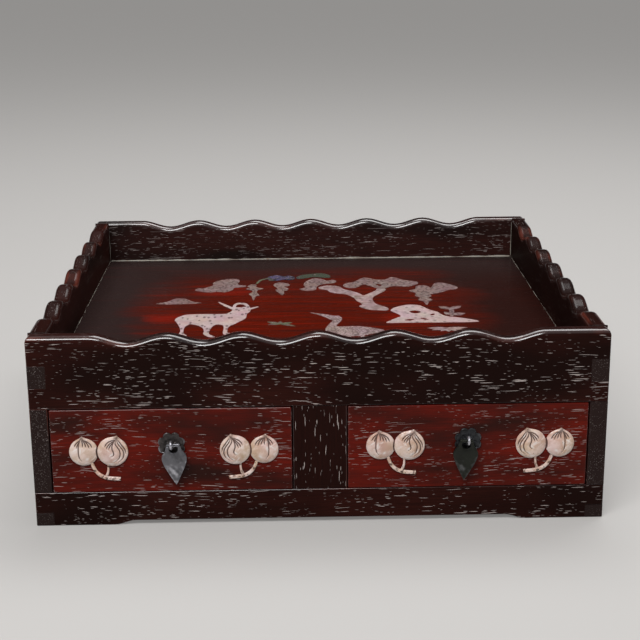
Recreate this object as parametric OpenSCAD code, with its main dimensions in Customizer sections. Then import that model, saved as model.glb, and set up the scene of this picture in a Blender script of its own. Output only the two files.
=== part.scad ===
/* [Case] */
// Overall width of the case
case_w = 320; // [290:1:400]
// Overall depth of the case, without the pulls
case_d = 300; // [260:1:380]
// Thickness of the case boards
board_t = 10; // [8:0.5:14]
// Height of the bottom rail, which is also where the drawers run
rail_h = 20; // [16:0.5:28]
// Height of a drawer opening
opening_h = 49.5; // [42:0.5:70]
// Width of the stile between the two drawers
stile_w = 30; // [22:1:44]
// Height of the front board below the tray panel
header_h = 2.5; // [2:0.5:8]
// Height of the gallery above the tray panel
gallery_h = 29; // [24:0.5:45]

/* [Gallery waves] */
// Number of waves along each gallery board
wave_count = 6; // [3:1:9]
// Depth of a wave from crest to trough
wave_depth = 4.5; // [2:0.5:8]
// Level stretch at each end of a gallery board
corner_flat = 34.5; // [20:0.5:50]

/* [Feet] */
// Length of the foot at each end of a board
foot_l = 44; // [25:1:70]
// Rise of the shallow arch between two feet
arch_h = 2.5; // [1:0.25:5]
// Length of the curve from the foot to the arch
arch_ease = 12; // [6:1:24]

/* [Corner joints] */
// Height of the lowest finger of a side board
low_finger_h = 7.5; // [5:0.5:10]
// Height of the tail at the height of the tray panel
tail_h = 12; // [9:0.5:16]
// Height of the finger above that tail
finger_h = 12.8; // [8:0.2:14]
// Height of the extra tail in the middle of the back corners
mid_tail_h = 16.5; // [10:0.5:24]

/* [Panel and base] */
// Thickness of the tray panel
panel_t = 10; // [8:0.5:12]
// Thickness of the base board under the drawers
base_t = 6; // [5:0.5:9]
// Thickness of the tongue around the tray panel
panel_tongue_t = 4; // [2:0.5:5]
// Thickness of the tongue around the base board
base_tongue_t = 3; // [2:0.5:4]
// Length of both tongues
tongue_l = 3; // [2:0.25:3.5]
// Room for the wood to move at the bottom of a groove
groove_play = 0.5; // [0.2:0.1:1]
// Length of the tenons of the stile
tenon_l = 5; // [3:0.5:6]
// Thickness of the tenons of the stile
tenon_t = 3; // [2:0.25:3.5]
// Wood between a tenon and the groove behind it
tenon_wall = 0.5; // [0.25:0.25:1]
// Shoulder beside a tenon
tenon_shoulder = 4; // [2:0.5:8]
// Thickness of the partition between the drawer bays
partition_t = 10; // [6:0.5:16]
// Height of the guide strips along the partition
guide_h = 8; // [5:0.5:14]

/* [Drawers] */
// Thickness of a drawer front
front_t = 12; // [9:0.5:16]
// Thickness of the sides and the back of a drawer
drawer_wall_t = 7; // [6:0.5:9]
// Thickness of a drawer bottom
bottom_t = 4; // [3:0.5:6]
// Depth of the lap of a side behind the drawer front
lap_l = 6; // [4:0.5:8]
// Depth of the grooves and housings in the drawer boards
housing_d = 3; // [2:0.25:4]
// Height of a drawer bottom above the runners
bottom_lift = 3; // [2:0.5:5]
// Length of the drawer sides behind the drawer back
side_tail = 4; // [2:0.5:10]
// Gap beside and above a drawer
drawer_gap = 0.5; // [0.3:0.1:1]
// Gap between a drawer and its runners
runner_gap = 0.3; // [0.2:0.05:0.6]
// Gap between a closed drawer and the back board
back_gap = 1; // [0.5:0.25:3]

/* [Pulls] */
// Height of a pull above the middle of its drawer
pull_up = 3; // [0:0.5:6]
// Radius of the rosette
rosette_r = 7.8; // [6:0.1:10]
// Thickness of the rosette in its middle
rosette_t = 1.2; // [0.8:0.1:2]
// Thickness of the rosette at its edge
rosette_edge_t = 0.6; // [0.4:0.1:0.8]
// Number of petals of the rosette
petal_count = 8; // [6:1:12]
// Radius of the shank of the cotter
shank_r = 1; // [0.8:0.05:1.3]
// Radius of the wire of the cotter's loop
wire_r = 0.75; // [0.6:0.05:0.9]
// Radius of the bar of the drop
bar_r = 0.85; // [0.7:0.05:1.1]
// Running clearance between the loop and the bar
loop_gap = 0.3; // [0.2:0.05:0.5]
// Length of a clinched leg inside the drawer
leg_l = 8; // [5:0.5:12]
// Width of a clinched leg
leg_w = 1.6; // [1.2:0.1:2.4]
// Thickness of a clinched leg
leg_t = 0.9; // [0.6:0.1:1.4]
// Length of the drop from its bar to its tip
drop_l = 23.2; // [19:0.1:26]
// Greatest width of the drop
drop_w = 13.7; // [12:0.1:18]
// Thickness of the drop
drop_t = 1.3; // [1:0.1:1.6]
// Radius of the eye below the bar
eye_r = 2.6; // [2.5:0.1:3]
// Room in the eye below the loop
eye_gap = 1.95; // [1.5:0.05:2.5]
// Width of the ring beside the eye
ring_w = 1.8; // [1.4:0.1:2.2]
// Lean of a drop towards the middle of the case
drop_lean = 3; // [0:1:12]
// Room between the loop and the side of the eye that the drop has slid to
eye_side_gap = 0.45; // [0.3:0.05:1.5]

/* [Peach ornaments] */
// Radius of the peach nearer the pull
peach_r = 8.5; // [6.5:0.1:9]
// Radius of the other peach of the pair
far_peach_r = 8; // [6:0.1:9]
// Distance between the middles of the two peaches of a pair
peach_pitch = 16.1; // [15:0.1:18]
// Length of the point at the top of a peach
peach_point = 0.9; // [0.4:0.1:2]
// Height of the peaches above the middle of the left drawer
left_peach_up = -0.3; // [-2:0.1:4]
// Height of the peaches above the middle of the right drawer
right_peach_up = 0.8; // [-2:0.1:4]
// Distance of a pair's middle from the end of the drawer front
peach_margin = 25; // [20:0.5:30]
// How far all the peaches sit to the right of that
peach_shift = 1.3; // [-2:0.1:2]
// Dark line between the two peaches of a pair
peach_line = 0.4; // [0.2:0.1:0.8]
// Height of a peach above the drawer front, in its middle
peach_proud = 2.4; // [1:0.1:3]
// Height of a peach above the drawer front, at its edge
peach_edge = 0.6; // [0.2:0.1:0.8]
// Height of a branch above the drawer front
branch_proud = 0.9; // [0.3:0.1:1.5]
// Width of a branch
branch_w = 1.9; // [1.6:0.1:3]
// Depth of the beds that the ornaments are set in
ornament_bed = 1; // [0.5:0.1:2]

/* [Inlay of the panel] */
// Width of the inlaid picture
picture_w = 210; // [150:1:230]
// Depth of the beds in the panel
inlay_bed = 1; // [0.5:0.1:2]
// Height of the inlay above the panel
inlay_proud = 0.2; // [0.1:0.05:0.4]

/* [Hidden] */
$fn = 64;

dark_wood = "#2a1614";
red_wood = "#5a1c12";
drawer_wood = "#6b3a22";
pewter = "#4a4d55";
pearl = "#d8c4bc";
abalone = "#5f7f70";

// Levels, counted from the surface that the case stands on
open_top = rail_h + opening_h;
panel_low = open_top + header_h;
panel_top = panel_low + panel_t;
case_h = panel_top + gallery_h;
finger_low = open_top + tail_h;
finger_top = finger_low + finger_h;
mid_tail_low = rail_h + (opening_h - mid_tail_h) / 2;

// The inside of the case, between its boards
inner_x = case_w / 2 - board_t;
inner_back = case_d - board_t;
opening_w = inner_x - stile_w / 2;
bay_x = stile_w / 2 + opening_w / 2;

// Heights at which a tail fills the corner, in front and at the back
front_tails = [[low_finger_h, rail_h], [open_top, finger_low], [finger_top, case_h]];
mid_tail = [mid_tail_low, mid_tail_low + mid_tail_h];
back_tails = concat(front_tails, [mid_tail]);
back_fingers = [
    [0, low_finger_h], [rail_h, mid_tail[0]], [mid_tail[1], open_top], [finger_low, finger_top]
];
wave_steps = 16;
ease_steps = 6;
cut = 1;

// A drawer, measured from its own front face and underside
drawer_w = opening_w - 2 * drawer_gap;
drawer_h = opening_h - drawer_gap - runner_gap;
drawer_l = inner_back - back_gap;
wall_x = drawer_w / 2 - drawer_wall_t;
drawer_back_y = drawer_l - side_tail - drawer_wall_t;
bottom_top = bottom_lift + bottom_t;
middle_z = opening_h / 2 - runner_gap;
pull_z = middle_z + pull_up;
peach_x = drawer_w / 2 - peach_margin;

// The loop of the cotter stands just clear of the rosette
loop_r = bar_r + loop_gap + wire_r;
loop_reach = loop_r + wire_r;
loop_seat = 0.1;
axis_out = rosette_t + loop_seat + loop_reach;
loop_rise = 0.68 * loop_r;
pull_reach = axis_out + loop_reach;
shank_play = 0.05;
shank_sink = wire_r / 4;
bar_l = 2 * eye_r + ring_w;
eye_drop = loop_reach + eye_gap - eye_r;

// The case is set back so that the whole object is centred on the origin
front_y = (pull_reach - case_d) / 2;
panel_mid_y = case_d / 2;

// A box between two corners
module block(low, high) translate(low) cube(high - low);

// Pieces measured from the front face of the case
module in_case() translate([0, front_y, 0]) children();

// Pieces of the left (-1) or right (1) drawer
module in_drawer(hand) in_case() translate([hand * bay_x, 0, rail_h + runner_gap]) children();

// The same piece on the left (-1) or right (1)
module handed(hand) {
    if (hand < 0) mirror([1, 0, 0]) children();
    else children();
}

// Flat shapes stood upright on a front face, rising towards the viewer
module on_face(x, z) translate([x, 0, z]) rotate([90, 0, 0]) children();

// A point on a smooth curve from b to c, with a before and d after
function bend(a, b, c, d, u) =
    0.5 * (2 * b + (c - a) * u + (2 * a - 5 * b + 4 * c - d) * u * u
        + (3 * b - a - 3 * c + d) * u * u * u);

// A closed smooth outline through points
function smooth(p, steps = 3) =
    let (n = len(p))
    [for (i = [0 : n - 1], k = [0 : steps - 1])
        bend(p[(i + n - 1) % n], p[i], p[(i + 1) % n], p[(i + 2) % n], k / steps)];

// An open smooth path through points
function path(p, steps = 4) =
    let (n = len(p) - 1)
    concat(
        [for (i = [0 : n - 1], k = [0 : steps - 1])
            bend(p[max(i - 1, 0)], p[i], p[i + 1], p[min(i + 2, n)], k / steps)],
        [p[n]]
    );

// The outline of a ribbon along points of [x, y, width]
function ribbon(p, steps = 4) =
    let (c = path(p, steps), n = len(c) - 1)
    concat(
        [for (i = [0 : n]) ribbon_edge(c, i, n, 0.5)],
        [for (i = [n : -1 : 0]) ribbon_edge(c, i, n, -0.5)]
    );
function ribbon_edge(c, i, n, share) =
    let (a = c[max(i - 1, 0)], b = c[min(i + 1, n)], l = norm([b[0] - a[0], b[1] - a[1]]))
    [c[i][0] - share * c[i][2] * (b[1] - a[1]) / l, c[i][1] + share * c[i][2] * (b[0] - a[0]) / l];

// A pointed leaf along x, whose stalk reaches a little behind the origin
leaf_steps = 8;
leaf_stalk = 0.1;
module leaf(length, width) {
    side = [for (i = [0 : leaf_steps])
        [length * (i / leaf_steps - leaf_stalk), width / 2 * sin(180 * i / leaf_steps)]];
    polygon(concat(side, [for (i = [leaf_steps - 1 : -1 : 1]) [side[i][0], -side[i][1]]]));
}

// Leaves that spread from one place, each given as [angle, length, width]
module leaves(at, list) {
    for (l = list) translate(at) rotate(l[0]) leaf(l[1], l[2]);
}

// The waved top edge of a board of length l, from its right end to its left
function wave_edge(l) = concat(
    [[l / 2, case_h]],
    [for (i = [wave_steps * wave_count : -1 : 0])
        [(i / wave_steps / wave_count - 0.5) * (l - 2 * corner_flat),
            case_h - wave_depth / 2 * (1 - cos(360 * i / wave_steps))]],
    [[-l / 2, case_h]]
);

// The arched lower edge of a board of length l, from its left end to its right
function foot_edge(l) = let (a = l / 2 - foot_l) concat(
    [[-l / 2, 0]],
    [for (i = [0 : ease_steps]) [arch_ease * i / ease_steps - a, arch_rise(i)]],
    [for (i = [ease_steps : -1 : 0]) [a - arch_ease * i / ease_steps, arch_rise(i)]],
    [[l / 2, 0]]
);
function arch_rise(i) = arch_h / 2 * (1 - cos(180 * i / ease_steps));

// An upright board whose front face is at y = 0
module board(outline) {
    rotate([90, 0, 0]) translate([0, 0, -board_t]) linear_extrude(board_t) polygon(outline);
}

// The ends of a board that stand in the corners, between two heights
module corner_blocks(z) {
    for (hand = [-1, 1]) handed(hand) {
        block([inner_x, -cut, z[0]], [case_w / 2 + cut, board_t + cut, z[1]]);
    }
}

// A tongue that runs all round a panel, between two heights
module tongue(z, reach) {
    block([-inner_x - reach, board_t - reach, z[0]], [inner_x + reach, inner_back + reach, z[1]]);
}
panel_tongue_z = panel_low + (panel_t - panel_tongue_t) / 2;
panel_tongue = [panel_tongue_z, panel_tongue_z + panel_tongue_t];
base_low = rail_h - base_t;
base_tongue_z = base_low + (base_t - base_tongue_t) / 2;
base_tongue = [base_tongue_z, base_tongue_z + base_tongue_t];
module grooves() {
    tongue(panel_tongue, tongue_l + groove_play);
    tongue(base_tongue, tongue_l + groove_play);
}

module side_board(hand) {
    color(dark_wood) in_case() difference() {
        handed(hand) translate([case_w / 2, case_d / 2, 0]) rotate([0, 0, 90])
            board(concat(foot_edge(case_d), wave_edge(case_d)));
        for (z = front_tails) tail_notch(hand, z, -cut, board_t);
        for (z = back_tails) tail_notch(hand, z, inner_back, case_d + cut);
        grooves();
    }
}

// Room in a side board for one tail
module tail_notch(hand, z, y0, y1) {
    top = z[1] == case_h ? case_h + cut : z[1];
    handed(hand) block([inner_x - cut, y0, z[0]], [case_w / 2 + cut, y1, top]);
}

module front_board() {
    color(dark_wood) in_case() difference() {
        board(concat([[-case_w / 2, open_top], [case_w / 2, open_top]], wave_edge(case_w)));
        corner_blocks([finger_low, finger_top]);
        grooves();
        stile_tenons();
    }
}

module back_board() {
    color(dark_wood) in_case() difference() {
        translate([0, inner_back, 0]) difference() {
            board(concat(foot_edge(case_w), wave_edge(case_w)));
            for (z = back_fingers) corner_blocks([z[0] == 0 ? -cut : z[0], z[1]]);
        }
        grooves();
    }
}

module bottom_rail() {
    color(dark_wood) in_case() difference() {
        board(concat(foot_edge(case_w), [[case_w / 2, rail_h], [-case_w / 2, rail_h]]));
        corner_blocks([-cut, low_finger_h]);
        grooves();
        stile_tenons();
    }
}

// The tenons stand in front of the grooves
tenon_y = board_t - tongue_l - groove_play - tenon_wall - tenon_t;
tenon_x = stile_w / 2 - tenon_shoulder;
module stile_tenons() {
    block([-tenon_x, tenon_y, rail_h - tenon_l], [tenon_x, tenon_y + tenon_t, open_top + tenon_l]);
}

module centre_stile() {
    color(dark_wood) in_case() {
        block([-stile_w / 2, 0, rail_h], [stile_w / 2, board_t, open_top]);
        stile_tenons();
    }
}

module tray_panel() {
    color(red_wood) in_case() difference() {
        union() {
            block([-inner_x, board_t, panel_low], [inner_x, inner_back, panel_top]);
            tongue(panel_tongue, tongue_l);
        }
        inlay_solid(cut) deer();
        inlay_solid(cut) crane();
        inlay_solid(cut) pine_trunk();
        inlay_solid(cut) pine_foliage();
        inlay_solid(cut) abalone_foliage();
        inlay_solid(cut) rock();
        inlay_solid(cut) rock_plant();
        inlay_solid(cut) grass();
        inlay_solid(cut) cloud();
        inlay_solid(cut) leaf_sprig();
    }
}

module base_board() {
    color(dark_wood) in_case() {
        block([-inner_x, board_t, base_low], [inner_x, inner_back, rail_h]);
        tongue(base_tongue, tongue_l);
    }
}

module centre_partition() {
    color(dark_wood) in_case()
        block([-partition_t / 2, board_t, rail_h], [partition_t / 2, inner_back, panel_low]);
}

module guide(hand) {
    color(dark_wood) in_case() handed(hand)
        block([partition_t / 2, board_t, rail_h], [stile_w / 2, inner_back, rail_h + guide_h]);
}

// Drawers

// The bottom of a drawer, slid in from behind under the drawer back, with some play in its grooves
bottom_play = 0.3;
module bottom_board(play, end) {
    half = wall_x + housing_d - play;
    block([-half, front_t - housing_d + play, bottom_lift], [half, end, bottom_top]);
}
module bottom_groove() bottom_board(0, drawer_l + cut);

module drawer_back_block() {
    half = wall_x + housing_d;
    block([-half, drawer_back_y, bottom_top], [half, drawer_back_y + drawer_wall_t, drawer_h]);
}

module drawer_front(hand) {
    color(red_wood) in_drawer(hand) difference() {
        block([-drawer_w / 2, 0, 0], [drawer_w / 2, front_t, drawer_h]);
        for (side = [-1, 1]) handed(side) {
            block([wall_x, front_t - lap_l, -cut], [drawer_w / 2 + cut, front_t + cut, drawer_h + cut]);
        }
        bottom_groove();
        on_face(0, pull_z) cylinder(h = 2 * front_t + cut, r = shank_r + shank_play, center = true);
        pairs(hand) {
            ornament(cut) near_peach();
            ornament(cut) far_peach();
            ornament(cut) branch();
        }
    }
}

module drawer_side(hand, side) {
    color(drawer_wood) in_drawer(hand) difference() {
        handed(side)
            block([wall_x, front_t - lap_l, 0], [drawer_w / 2, drawer_l, drawer_h]);
        bottom_groove();
        drawer_back_block();
    }
}

module drawer_back(hand) {
    color(drawer_wood) in_drawer(hand) drawer_back_block();
}

module drawer_bottom(hand) {
    color(drawer_wood) in_drawer(hand) bottom_board(bottom_play, drawer_l - side_tail);
}

// Ornaments of the drawer fronts: in each pair the peach nearer the pull lies over the other

// One peach: a round outline that runs into a point, which leans to the right
peach_steps = 48;
near_lean = 15;
far_lean = -5;
module peach(r, lean) {
    touch = acos(r / (r + peach_point));
    start = 90 - lean + touch;
    sweep = 360 - 2 * touch;
    polygon(concat(
        [(r + peach_point) * [sin(lean), cos(lean)]],
        [for (i = [0 : peach_steps])
            r * [cos(start + sweep * i / peach_steps), sin(start + sweep * i / peach_steps)]]
    ));
}

module near_peach() translate([peach_pitch / 2, 0]) peach(peach_r, near_lean);
module far_peach() {
    difference() {
        translate([-peach_pitch / 2, 0]) peach(far_peach_r, far_lean);
        translate([peach_pitch / 2, 0]) circle(peach_r + peach_line);
    }
}

// A forked branch that carries the pair
fork = [0.22 * peach_pitch, -1.82 * peach_r];
module branch() {
    difference() {
        union() {
            polygon(ribbon([
                [-0.25 * peach_pitch, -0.8 * peach_r, 0.95 * branch_w],
                [-0.08 * peach_pitch, -1.45 * peach_r, branch_w],
                [fork[0], fork[1], 1.1 * branch_w],
                [0.73 * peach_pitch, -1.93 * peach_r, 1.05 * branch_w]
            ]));
            polygon(ribbon([
                [0.33 * peach_pitch, -0.8 * peach_r, 0.65 * branch_w],
                [0.31 * peach_pitch, -1.4 * peach_r, 0.65 * branch_w],
                [fork[0], fork[1], branch_w]
            ]));
        }
        near_peach();
        far_peach();
    }
}

// Both pairs of a drawer front, the right one mirrored
module pairs(hand) {
    up = hand < 0 ? left_peach_up : right_peach_up;
    for (side = [1, -1])
        handed(side) on_face(side * peach_shift - peach_x, middle_z + up) children();
}

// A flat ornament from the bottom of its bed up to a level above the face
module ornament(up) {
    translate([0, 0, -ornament_bed]) linear_extrude(ornament_bed + up) children();
}

// A peach worked to a dome over its middle
module domed(x, r) {
    rise = peach_proud - peach_edge;
    reach = r + peach_point;
    dome_r = (reach * reach + rise * rise) / (2 * rise);
    intersection() {
        ornament(peach_proud) children();
        translate([x, 0, peach_proud - dome_r]) sphere(dome_r, $fn = 256);
    }
}

module drawer_peaches(hand) {
    color(pearl) in_drawer(hand) pairs(hand) {
        domed(peach_pitch / 2, peach_r) near_peach();
        domed(-peach_pitch / 2, far_peach_r) far_peach();
    }
}

module drawer_branches(hand) {
    color(pearl) in_drawer(hand) pairs(hand) ornament(branch_proud) branch();
}

// Pulls: a rosette, a cotter whose legs are clinched inside, and a drop

petal_lap = 1.15;
module pull_rosette(hand) {
    petal_r = petal_lap * rosette_r * sin(180 / petal_count) / (1 + sin(180 / petal_count));
    rise = rosette_t - rosette_edge_t;
    dome_r = (rosette_r * rosette_r + rise * rise) / (2 * rise);
    color(pewter) in_drawer(hand) on_face(0, pull_z) difference() {
        intersection() {
            linear_extrude(rosette_t) {
                circle(rosette_r - petal_r);
                for (i = [0 : petal_count - 1]) rotate(360 * (i + 0.5) / petal_count)
                    translate([rosette_r - petal_r, 0]) circle(petal_r);
            }
            translate([0, 0, rosette_t - dome_r]) sphere(dome_r, $fn = 256);
        }
        translate([0, 0, -cut]) cylinder(h = rosette_t + 2 * cut, r = shank_r + shank_play);
    }
}

// The middle of the loop, on the axis that the drop turns about
module at_loop(hand) {
    in_drawer(hand) translate([0, -axis_out, pull_z + loop_rise]) rotate([0, hand * drop_lean, 0])
        children();
}

module pull_cotter(hand) {
    shank_start = axis_out - sqrt(loop_r * loop_r - loop_rise * loop_rise) + shank_sink;
    color(pewter) union() {
        at_loop(hand) rotate([0, 90, 0]) rotate_extrude() translate([loop_r, 0]) circle(wire_r);
        in_drawer(hand) {
            on_face(0, pull_z) translate([0, 0, -front_t - leg_t])
                cylinder(h = front_t + leg_t + shank_start, r = shank_r);
            translate([0, 0, pull_z])
                block([-leg_l, front_t, -leg_w / 2], [leg_l, front_t + leg_t, leg_w / 2]);
        }
    }
}

// Half of the drop's outline, from its shoulder beside the bar to its tip
ring_x = eye_r + ring_w;
drop_half = [
    [eye_r + 0.3 * ring_w, 0.5 * bar_r], [eye_r + 0.8 * ring_w, -0.4 * eye_drop],
    [ring_x, -1.2 * eye_drop], [0.39 * drop_w, -2 * eye_drop], [0.48 * drop_w, -3 * eye_drop],
    [0.5 * drop_w, -0.36 * drop_l], [0.42 * drop_w, -0.52 * drop_l],
    [0.24 * drop_w, -0.74 * drop_l], [0.09 * drop_w, -0.91 * drop_l], [0, -drop_l]
];

module pull_drop(hand) {
    half = path(drop_half, 3);
    other = [for (i = [len(half) - 2 : -1 : 0]) [-half[i][0], half[i][1]]];
    eye_side = eye_r - 0.1 * ring_w;
    slide = eye_side - wire_r - eye_side_gap;
    color(pewter) at_loop(hand) translate([-hand * slide, 0, 0]) union() {
        rotate([90, 0, 0]) translate([0, 0, -drop_t / 2]) linear_extrude(drop_t) difference() {
            polygon(concat(half, other));
            translate([0, -eye_drop]) circle(eye_r);
            square([2 * eye_side, 2 * eye_drop], center = true);
        }
        rotate([0, 90, 0]) cylinder(h = bar_l, r = bar_r, center = true);
    }
}

// Inlay of the panel, drawn in steps from the middle of the panel: x to the right, y to the back

picture_steps = 210;
module inlay_solid(up) {
    translate([0, panel_mid_y, panel_top - inlay_bed]) linear_extrude(inlay_bed + up)
        scale(picture_w / picture_steps) children();
}

module inlay(tint) {
    color(tint) in_case() inlay_solid(inlay_proud) children();
}

module deer() {
    polygon(smooth([
        [-89.5, -21], [-88, -14.5], [-83, -8.5], [-74, -7.5], [-62, -8], [-57.5, -7], [-54.5, -3],
        [-53.5, 3], [-53, 7.5], [-48, 7.5], [-43.5, 9.5], [-42, 5.5], [-42, -2.5], [-43.8, -7.5],
        [-44, -13.5], [-45, -19.5], [-50.5, -30], [-54.5, -37], [-55, -45.5], [-54.5, -50],
        [-51.5, -52], [-55.5, -54], [-57.5, -51], [-57.5, -40], [-58.5, -33], [-62.5, -31.5],
        [-65, -37], [-66.3, -48], [-65.5, -53.5], [-62, -58], [-65.5, -58.5], [-69.5, -52],
        [-69.5, -46], [-71, -38], [-75, -32], [-79, -30.5], [-82, -36], [-82, -49], [-79.5, -55.5],
        [-84.5, -53.5], [-84.2, -46], [-85, -38.5], [-87.5, -27.5]
    ]));
    polygon(ribbon([[-52, 3.5, 4], [-56, 8.5, 3], [-59.5, 14, 2.4], [-63.5, 21, 0.8]]));
    polygon(ribbon([
        [-52.8, 6, 2], [-52.3, 13, 2.2], [-50, 17, 3.2], [-46.5, 16, 3.2], [-44.4, 12, 2.2], [-43.4, 7, 2]
    ]));
    polygon(ribbon([[-43.5, 2, 2.4], [-40, 5.8, 2.4], [-37, 8.5, 1.2]]));
}

module crane() {
    polygon(smooth([
        [-3, -7], [2, -9.2], [7, -12], [12.5, -15.5], [15.2, -15.5], [17.2, -21.5], [15.5, -30],
        [13.5, -36], [14, -39.6], [22, -39.5], [30, -40.5], [38, -45], [42.5, -49.5], [36, -55],
        [26, -60.5], [16, -59.5], [9, -55], [6, -48], [6.5, -42], [9, -32.5], [11.2, -26],
        [9.5, -23.5], [6.5, -18], [2, -12]
    ]));
    polygon(ribbon([[20, -58, 3], [20, -70, 1.8], [21, -84, 1.6], [20, -95, 1.6]]));
    polygon(ribbon([[28, -57, 3], [29, -69, 1.8], [32, -82, 1.6], [32, -92, 1.6]]));
    leaves([20, -94.5], [[185, 8, 2.4], [235, 7, 2.2], [350, 7, 2.4]]);
    leaves([32, -91.5], [[190, 6, 2.2], [300, 7, 2.2], [350, 8, 2.4]]);
}

module pine_trunk() {
    polygon(smooth([
        [4, 56], [8, 59.5], [12, 60.3], [18, 57], [21.5, 49.5], [27.5, 43.5], [31, 38.5], [33.5, 33.5],
        [35.5, 35], [39, 40], [43, 46], [44, 50.5], [49.5, 50.3], [49, 44.5], [46, 39.5], [41, 31],
        [39.5, 25], [39.5, 19], [41, 11.5], [45, 6], [48, 2], [48.2, -2.5], [46, -4.5], [42, -3.5],
        [37, -2.5], [32.5, 1], [29.5, 6.5], [31.5, 9.5], [31, 14.5], [28.5, 20], [27, 27.5],
        [23, 35.5], [18.5, 38.5], [12, 42], [9.5, 48.5], [4.5, 51.5]
    ]));
}

module pine_foliage() {
    polygon(smooth([
        [-81.5, 52.5], [-79, 57], [-76, 56.8], [-72.5, 60.5], [-69.5, 65], [-70, 70.5], [-68, 75],
        [-63.5, 79.5], [-58.5, 82], [-52.5, 80.5], [-51.5, 74.5], [-52.5, 67.5], [-50, 64],
        [-46.8, 63.5], [-46.8, 60], [-50.5, 59], [-54.5, 57], [-55.5, 52], [-60, 46.5], [-66, 47.5],
        [-72, 46], [-78, 49.5]
    ]));
    polygon(smooth([
        [-45.5, 61], [-42.5, 66], [-39.5, 65], [-39, 58], [-34, 54.5], [-38, 50.5], [-38.5, 44],
        [-36.5, 36], [-39, 35], [-40.5, 23.5], [-42, 35], [-44, 40.5], [-41.8, 45], [-42.5, 50.5],
        [-46.3, 54], [-43.5, 57.5]
    ]));
    polygon(smooth([
        [-27.5, 63], [-25.5, 69], [-22.5, 70], [-17, 66.5], [-16.5, 61], [-20, 59], [-17, 54],
        [-18, 49], [-20, 48], [-20, 40], [-21.5, 37], [-23.5, 42.5], [-26, 50], [-24.5, 54.5]
    ]));
    polygon(smooth([
        [-9.5, 52], [-5.5, 56], [-6.5, 64.5], [-4, 74], [1.5, 81], [7, 78], [10, 73.5], [14, 76],
        [16.5, 72.5], [15, 67.5], [9.5, 65], [5, 62.5], [2.5, 57], [2, 50.5], [-1, 48], [-5.5, 47.5]
    ]));
    difference() {
        polygon(smooth([
            [21, 60.5], [23.5, 66.5], [29, 69.5], [33.5, 77.5], [37.5, 81], [41.5, 78], [46, 74.5],
            [51.5, 75.5], [55.5, 81], [59.5, 79], [63, 74], [67.5, 71], [73, 67.5], [73, 62],
            [68.5, 57], [65, 55], [58, 56.5], [53.5, 55.5], [50.5, 51.9], [43.5, 52.2], [41, 56.5],
            [38, 59.5], [36, 62.5], [33.5, 60.5], [31, 55.5], [28, 53], [24.5, 53.5], [21.8, 56.5]
        ]));
        polygon(smooth([[43.5, 62], [46, 63], [48, 60.5], [46, 57]]));
    }
    polygon(smooth([
        [65.5, 44], [70, 48], [71.5, 56], [76.5, 57.5], [80, 54.5], [81, 50.5], [83, 57], [85.5, 63.5],
        [90.5, 64], [94.5, 60], [99.5, 52.5], [98, 46.5], [93, 45], [88, 39.5], [82.5, 35.5],
        [79, 34], [79.5, 29], [77, 26.5], [79.3, 20], [76.5, 15.5], [74.3, 7.5], [72.5, 17],
        [69.5, 20.5], [71.5, 25.5], [68.5, 31], [69.5, 37.5]
    ]));
}

module abalone_foliage() {
    polygon(smooth([
        [-32, 82.5], [-30, 88], [-25, 91], [-20.5, 87.5], [-16.5, 89], [-12.8, 85], [-12.8, 79],
        [-17, 77], [-20.5, 78.5], [-24.5, 75.5], [-30, 76]
    ]));
    polygon(smooth([
        [-11.5, 84], [-7.5, 90.5], [0, 93.5], [5.5, 95], [9.5, 93], [12.5, 88.5], [12, 82], [5.5, 83.5],
        [0.5, 85], [-4.5, 81.5], [-10, 79.5]
    ]));
    polygon(ribbon([[-39.2, 68, 1.4], [-36.5, 77.5, 2], [-31, 82.5, 2.6]]));
}

module rock() {
    difference() {
        polygon(smooth([
            [49.5, -4], [52, 1.5], [56, 5], [61, 8.5], [68, 7.5], [71.5, 3], [74.5, -3.5], [79.5, -9.5],
            [82, -16.5], [86, -20.5], [94.5, -24.5], [103.5, -32.5], [83.5, -33.5], [67.5, -33],
            [54.5, -33], [45, -32.8], [47.5, -28], [52.5, -21.5], [55, -18.5], [54, -13.5], [50.5, -7.5]
        ]));
        polygon(smooth([[61.5, -7], [65.5, -5], [69, -9], [65.5, -12.5], [62.5, -11]]));
        polygon(smooth([[56.5, -27.5], [60, -25], [63.5, -25.5], [60, -28.5]]));
        polygon(smooth([[67, -23], [69.5, -23], [72.5, -27], [69, -26.5]]));
        polygon(smooth([[74, -16.5], [76, -13], [77.5, -14.5], [75.5, -17.5]]));
    }
}

module rock_plant() {
    polygon(ribbon([[87.6, -19.5, 2], [88.8, -10, 3], [89, -2, 3.2]]));
    leaves([88.5, -3], [[135, 11, 5.5], [42, 12, 5.5]]);
    leaves([88, -16.5], [[122, 9, 5], [20, 11, 6.5]]);
}

module grass() {
    leaves([82, -46], [
        [178, 14, 4], [200, 12, 4], [232, 9, 3.5], [270, 9, 3.5], [308, 9, 3.5], [340, 12, 4], [2, 14, 4]
    ]);
}

module cloud() {
    polygon(smooth([
        [-105, 19], [-98, 23.5], [-93, 31], [-86, 30], [-81, 23], [-75, 19.5], [-85, 17.5], [-95, 17]
    ]));
}

module leaf_sprig() {
    leaves([-22, -32], [[150, 11, 3.5], [185, 9, 3.5], [20, 9, 3.5], [330, 12, 3], [95, 6, 3]]);
}

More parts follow.
